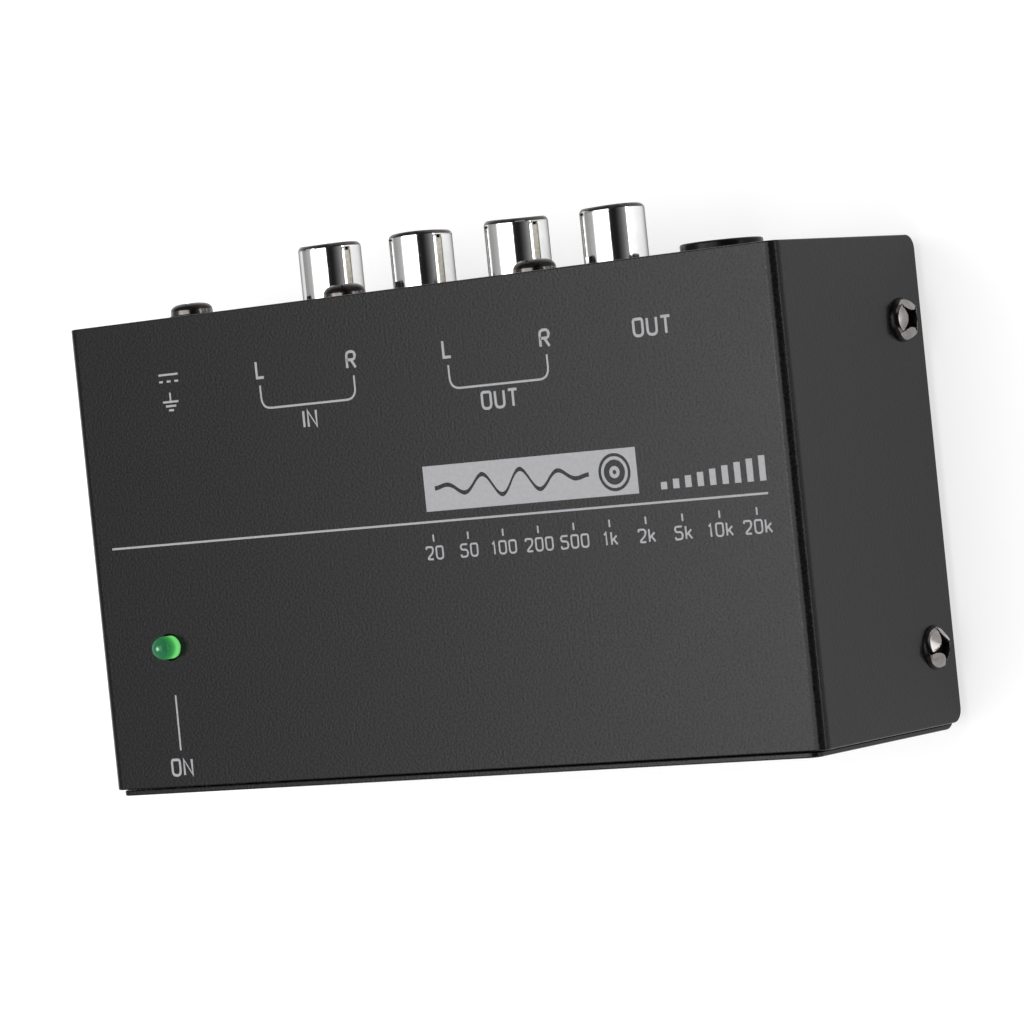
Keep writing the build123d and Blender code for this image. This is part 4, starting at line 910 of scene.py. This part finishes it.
def pale_floor():
    """Matt floor that lights the object as a pale one does and is itself seen almost white."""
    finish = bpy.data.materials.new("pale_floor")
    finish.use_nodes = True
    tree = finish.node_tree
    tree.nodes.clear()
    add, link = node_adder(tree), tree.links.new
    matt = add("ShaderNodeBsdfDiffuse", Color=FLOOR_TINT)
    seen = add("ShaderNodeAddShader")
    link(add("ShaderNodeBsdfDiffuse", Color=FLOOR_SEEN).outputs[0], seen.inputs[0])
    link(add("ShaderNodeEmission", Strength=FLOOR_LIFT).outputs[0], seen.inputs[1])
    straight = seen_by(add, link, "Is Camera Ray", "Is Glossy Ray", "Is Transmission Ray")
    add("ShaderNodeOutputMaterial", Surface=mixed(add, link, straight, matt, seen).outputs[0])
    return finish


def plain_room():
    """World: the room's cross-section, its two end walls and the white sweep along the horizon."""
    room = bpy.data.worlds.new("room")
    room.use_nodes = True
    tree = room.node_tree
    tree.nodes.clear()
    add, link = node_adder(tree), tree.links.new
    parts = add("ShaderNodeSeparateXYZ", Vector=add("ShaderNodeTexCoord").outputs["Generated"])

    swing = add("ShaderNodeMath", operation="ARCTAN2")
    link(parts.outputs["X"], swing.inputs[0])
    link(parts.outputs["Z"], swing.inputs[1])
    spread = add("ShaderNodeMapRange", Value=swing.outputs[0], From_Min=-math.pi, From_Max=math.pi)
    walls = add("ShaderNodeValToRGB", Fac=spread.outputs["Result"])
    fill_ramp(walls, [((degrees + 180) / 360, [radiance / ROOM_BRIGHTEST] * 3)
                      for degrees, radiance in ROOM])
    cross_section = add("ShaderNodeBackground", Color=walls.outputs["Color"], Strength=ROOM_BRIGHTEST)

    slant = add("ShaderNodeMath", operation="ABSOLUTE")
    link(parts.outputs["Y"], slant.inputs[0])
    to_end = add("ShaderNodeMapRange", Value=slant.outputs[0],
                 From_Min=ROOM_ENDS[0], From_Max=ROOM_ENDS[1])
    end_level = add("ShaderNodeMapRange", Value=parts.outputs["Y"], From_Min=-ROOM_ENDS[0],
                    From_Max=ROOM_ENDS[0], To_Min=FRONT_RADIANCE, To_Max=REAR_RADIANCE)
    ends = add("ShaderNodeBackground", Color=WHITE, Strength=end_level.outputs["Result"])
    closed_room = mixed(add, link, to_end.outputs["Result"], cross_section, ends)

    sweep_level = add("ShaderNodeMapRange", Value=parts.outputs["X"], From_Min=SWEEP_TURN[0],
                      From_Max=SWEEP_TURN[1], To_Min=1.0, To_Max=SWEEP_RIGHT)
    sweep = add("ShaderNodeBackground", Color=WHITE, Strength=sweep_level.outputs["Result"])
    low_down = add("ShaderNodeMapRange", Value=parts.outputs["Z"], From_Min=SWEEP_TOP[0],
                   From_Max=SWEEP_TOP[1], To_Min=1.0, To_Max=0.0)
    seen = mixed(add, link, low_down.outputs["Result"], closed_room, sweep)
    add("ShaderNodeOutputWorld", Surface=seen.outputs[0])
    return room


floor_mesh = bmesh.new()
bmesh.ops.create_grid(floor_mesh, x_segments=8, y_segments=8, size=FLOOR_HALF)
bmesh.ops.translate(floor_mesh, verts=floor_mesh.verts, vec=(0, 0, -FLOOR_DROP))
finished("floor", floor_mesh, pale_floor(), smooth=False)
bpy.context.scene.world = plain_room()

SOFT_BOX = (0.945, 0.95)
SOFT_BOX_PLACE = (-0.0975, 0.0, 1.0)
SOFT_BOX_RADIANCE = 3.0
CORE_WIDTH = 0.10
CORE_PLACE = (-0.30, 0.0, 0.98)
CORE_RADIANCE = 14.0


def lamp(name, shape, size, area, place, radiance):
    """Area lamp that faces the floor and isn't itself in the picture; gives its light."""
    light = bpy.data.lights.new(name, "AREA")
    light.shape = shape
    light.size = size
    light.energy = radiance * math.pi * area
    holder = bpy.data.objects.new(name, light)
    holder.location = place
    holder.visible_camera = False
    bpy.context.scene.collection.objects.link(holder)
    return light


soft_box = lamp("soft_box", "RECTANGLE", size=SOFT_BOX[0], area=SOFT_BOX[0] * SOFT_BOX[1],
                place=SOFT_BOX_PLACE, radiance=SOFT_BOX_RADIANCE)
soft_box.size_y = SOFT_BOX[1]
lamp("soft_box_core", "DISK", size=CORE_WIDTH, area=math.pi * (CORE_WIDTH / 2) ** 2,
     place=CORE_PLACE, radiance=CORE_RADIANCE)

SENSOR_WIDTH = 36.0             # mm
CAMERA_LENS = 165.95            # mm
CAMERA_NEAREST = 0.01
CAMERA_PLACE = Vector((0.346478, 0.004836, 0.519988))
CAMERA_LOOK = Vector((-0.566933, -0.012013, -0.823677))
CAMERA_UP = Vector((0.077092, 0.994732, -0.067570))
camera_data = bpy.data.cameras.new("camera")
camera_data.sensor_width = SENSOR_WIDTH
camera_data.lens = CAMERA_LENS
camera_data.clip_start = CAMERA_NEAREST
camera = bpy.data.objects.new("camera", camera_data)
bpy.context.scene.collection.objects.link(camera)
aimed = Matrix((CAMERA_LOOK.cross(CAMERA_UP), CAMERA_UP, -CAMERA_LOOK)).transposed()
camera.matrix_world = Matrix.Translation(CAMERA_PLACE) @ aimed.to_4x4()
bpy.context.scene.camera = camera
bpy.context.scene.view_settings.view_transform = "Standard"

# ---- last update -------------------------------------------------------------------------
# The view layer is brought up to date once more, after every piece has been added.
bpy.context.view_layer.update()
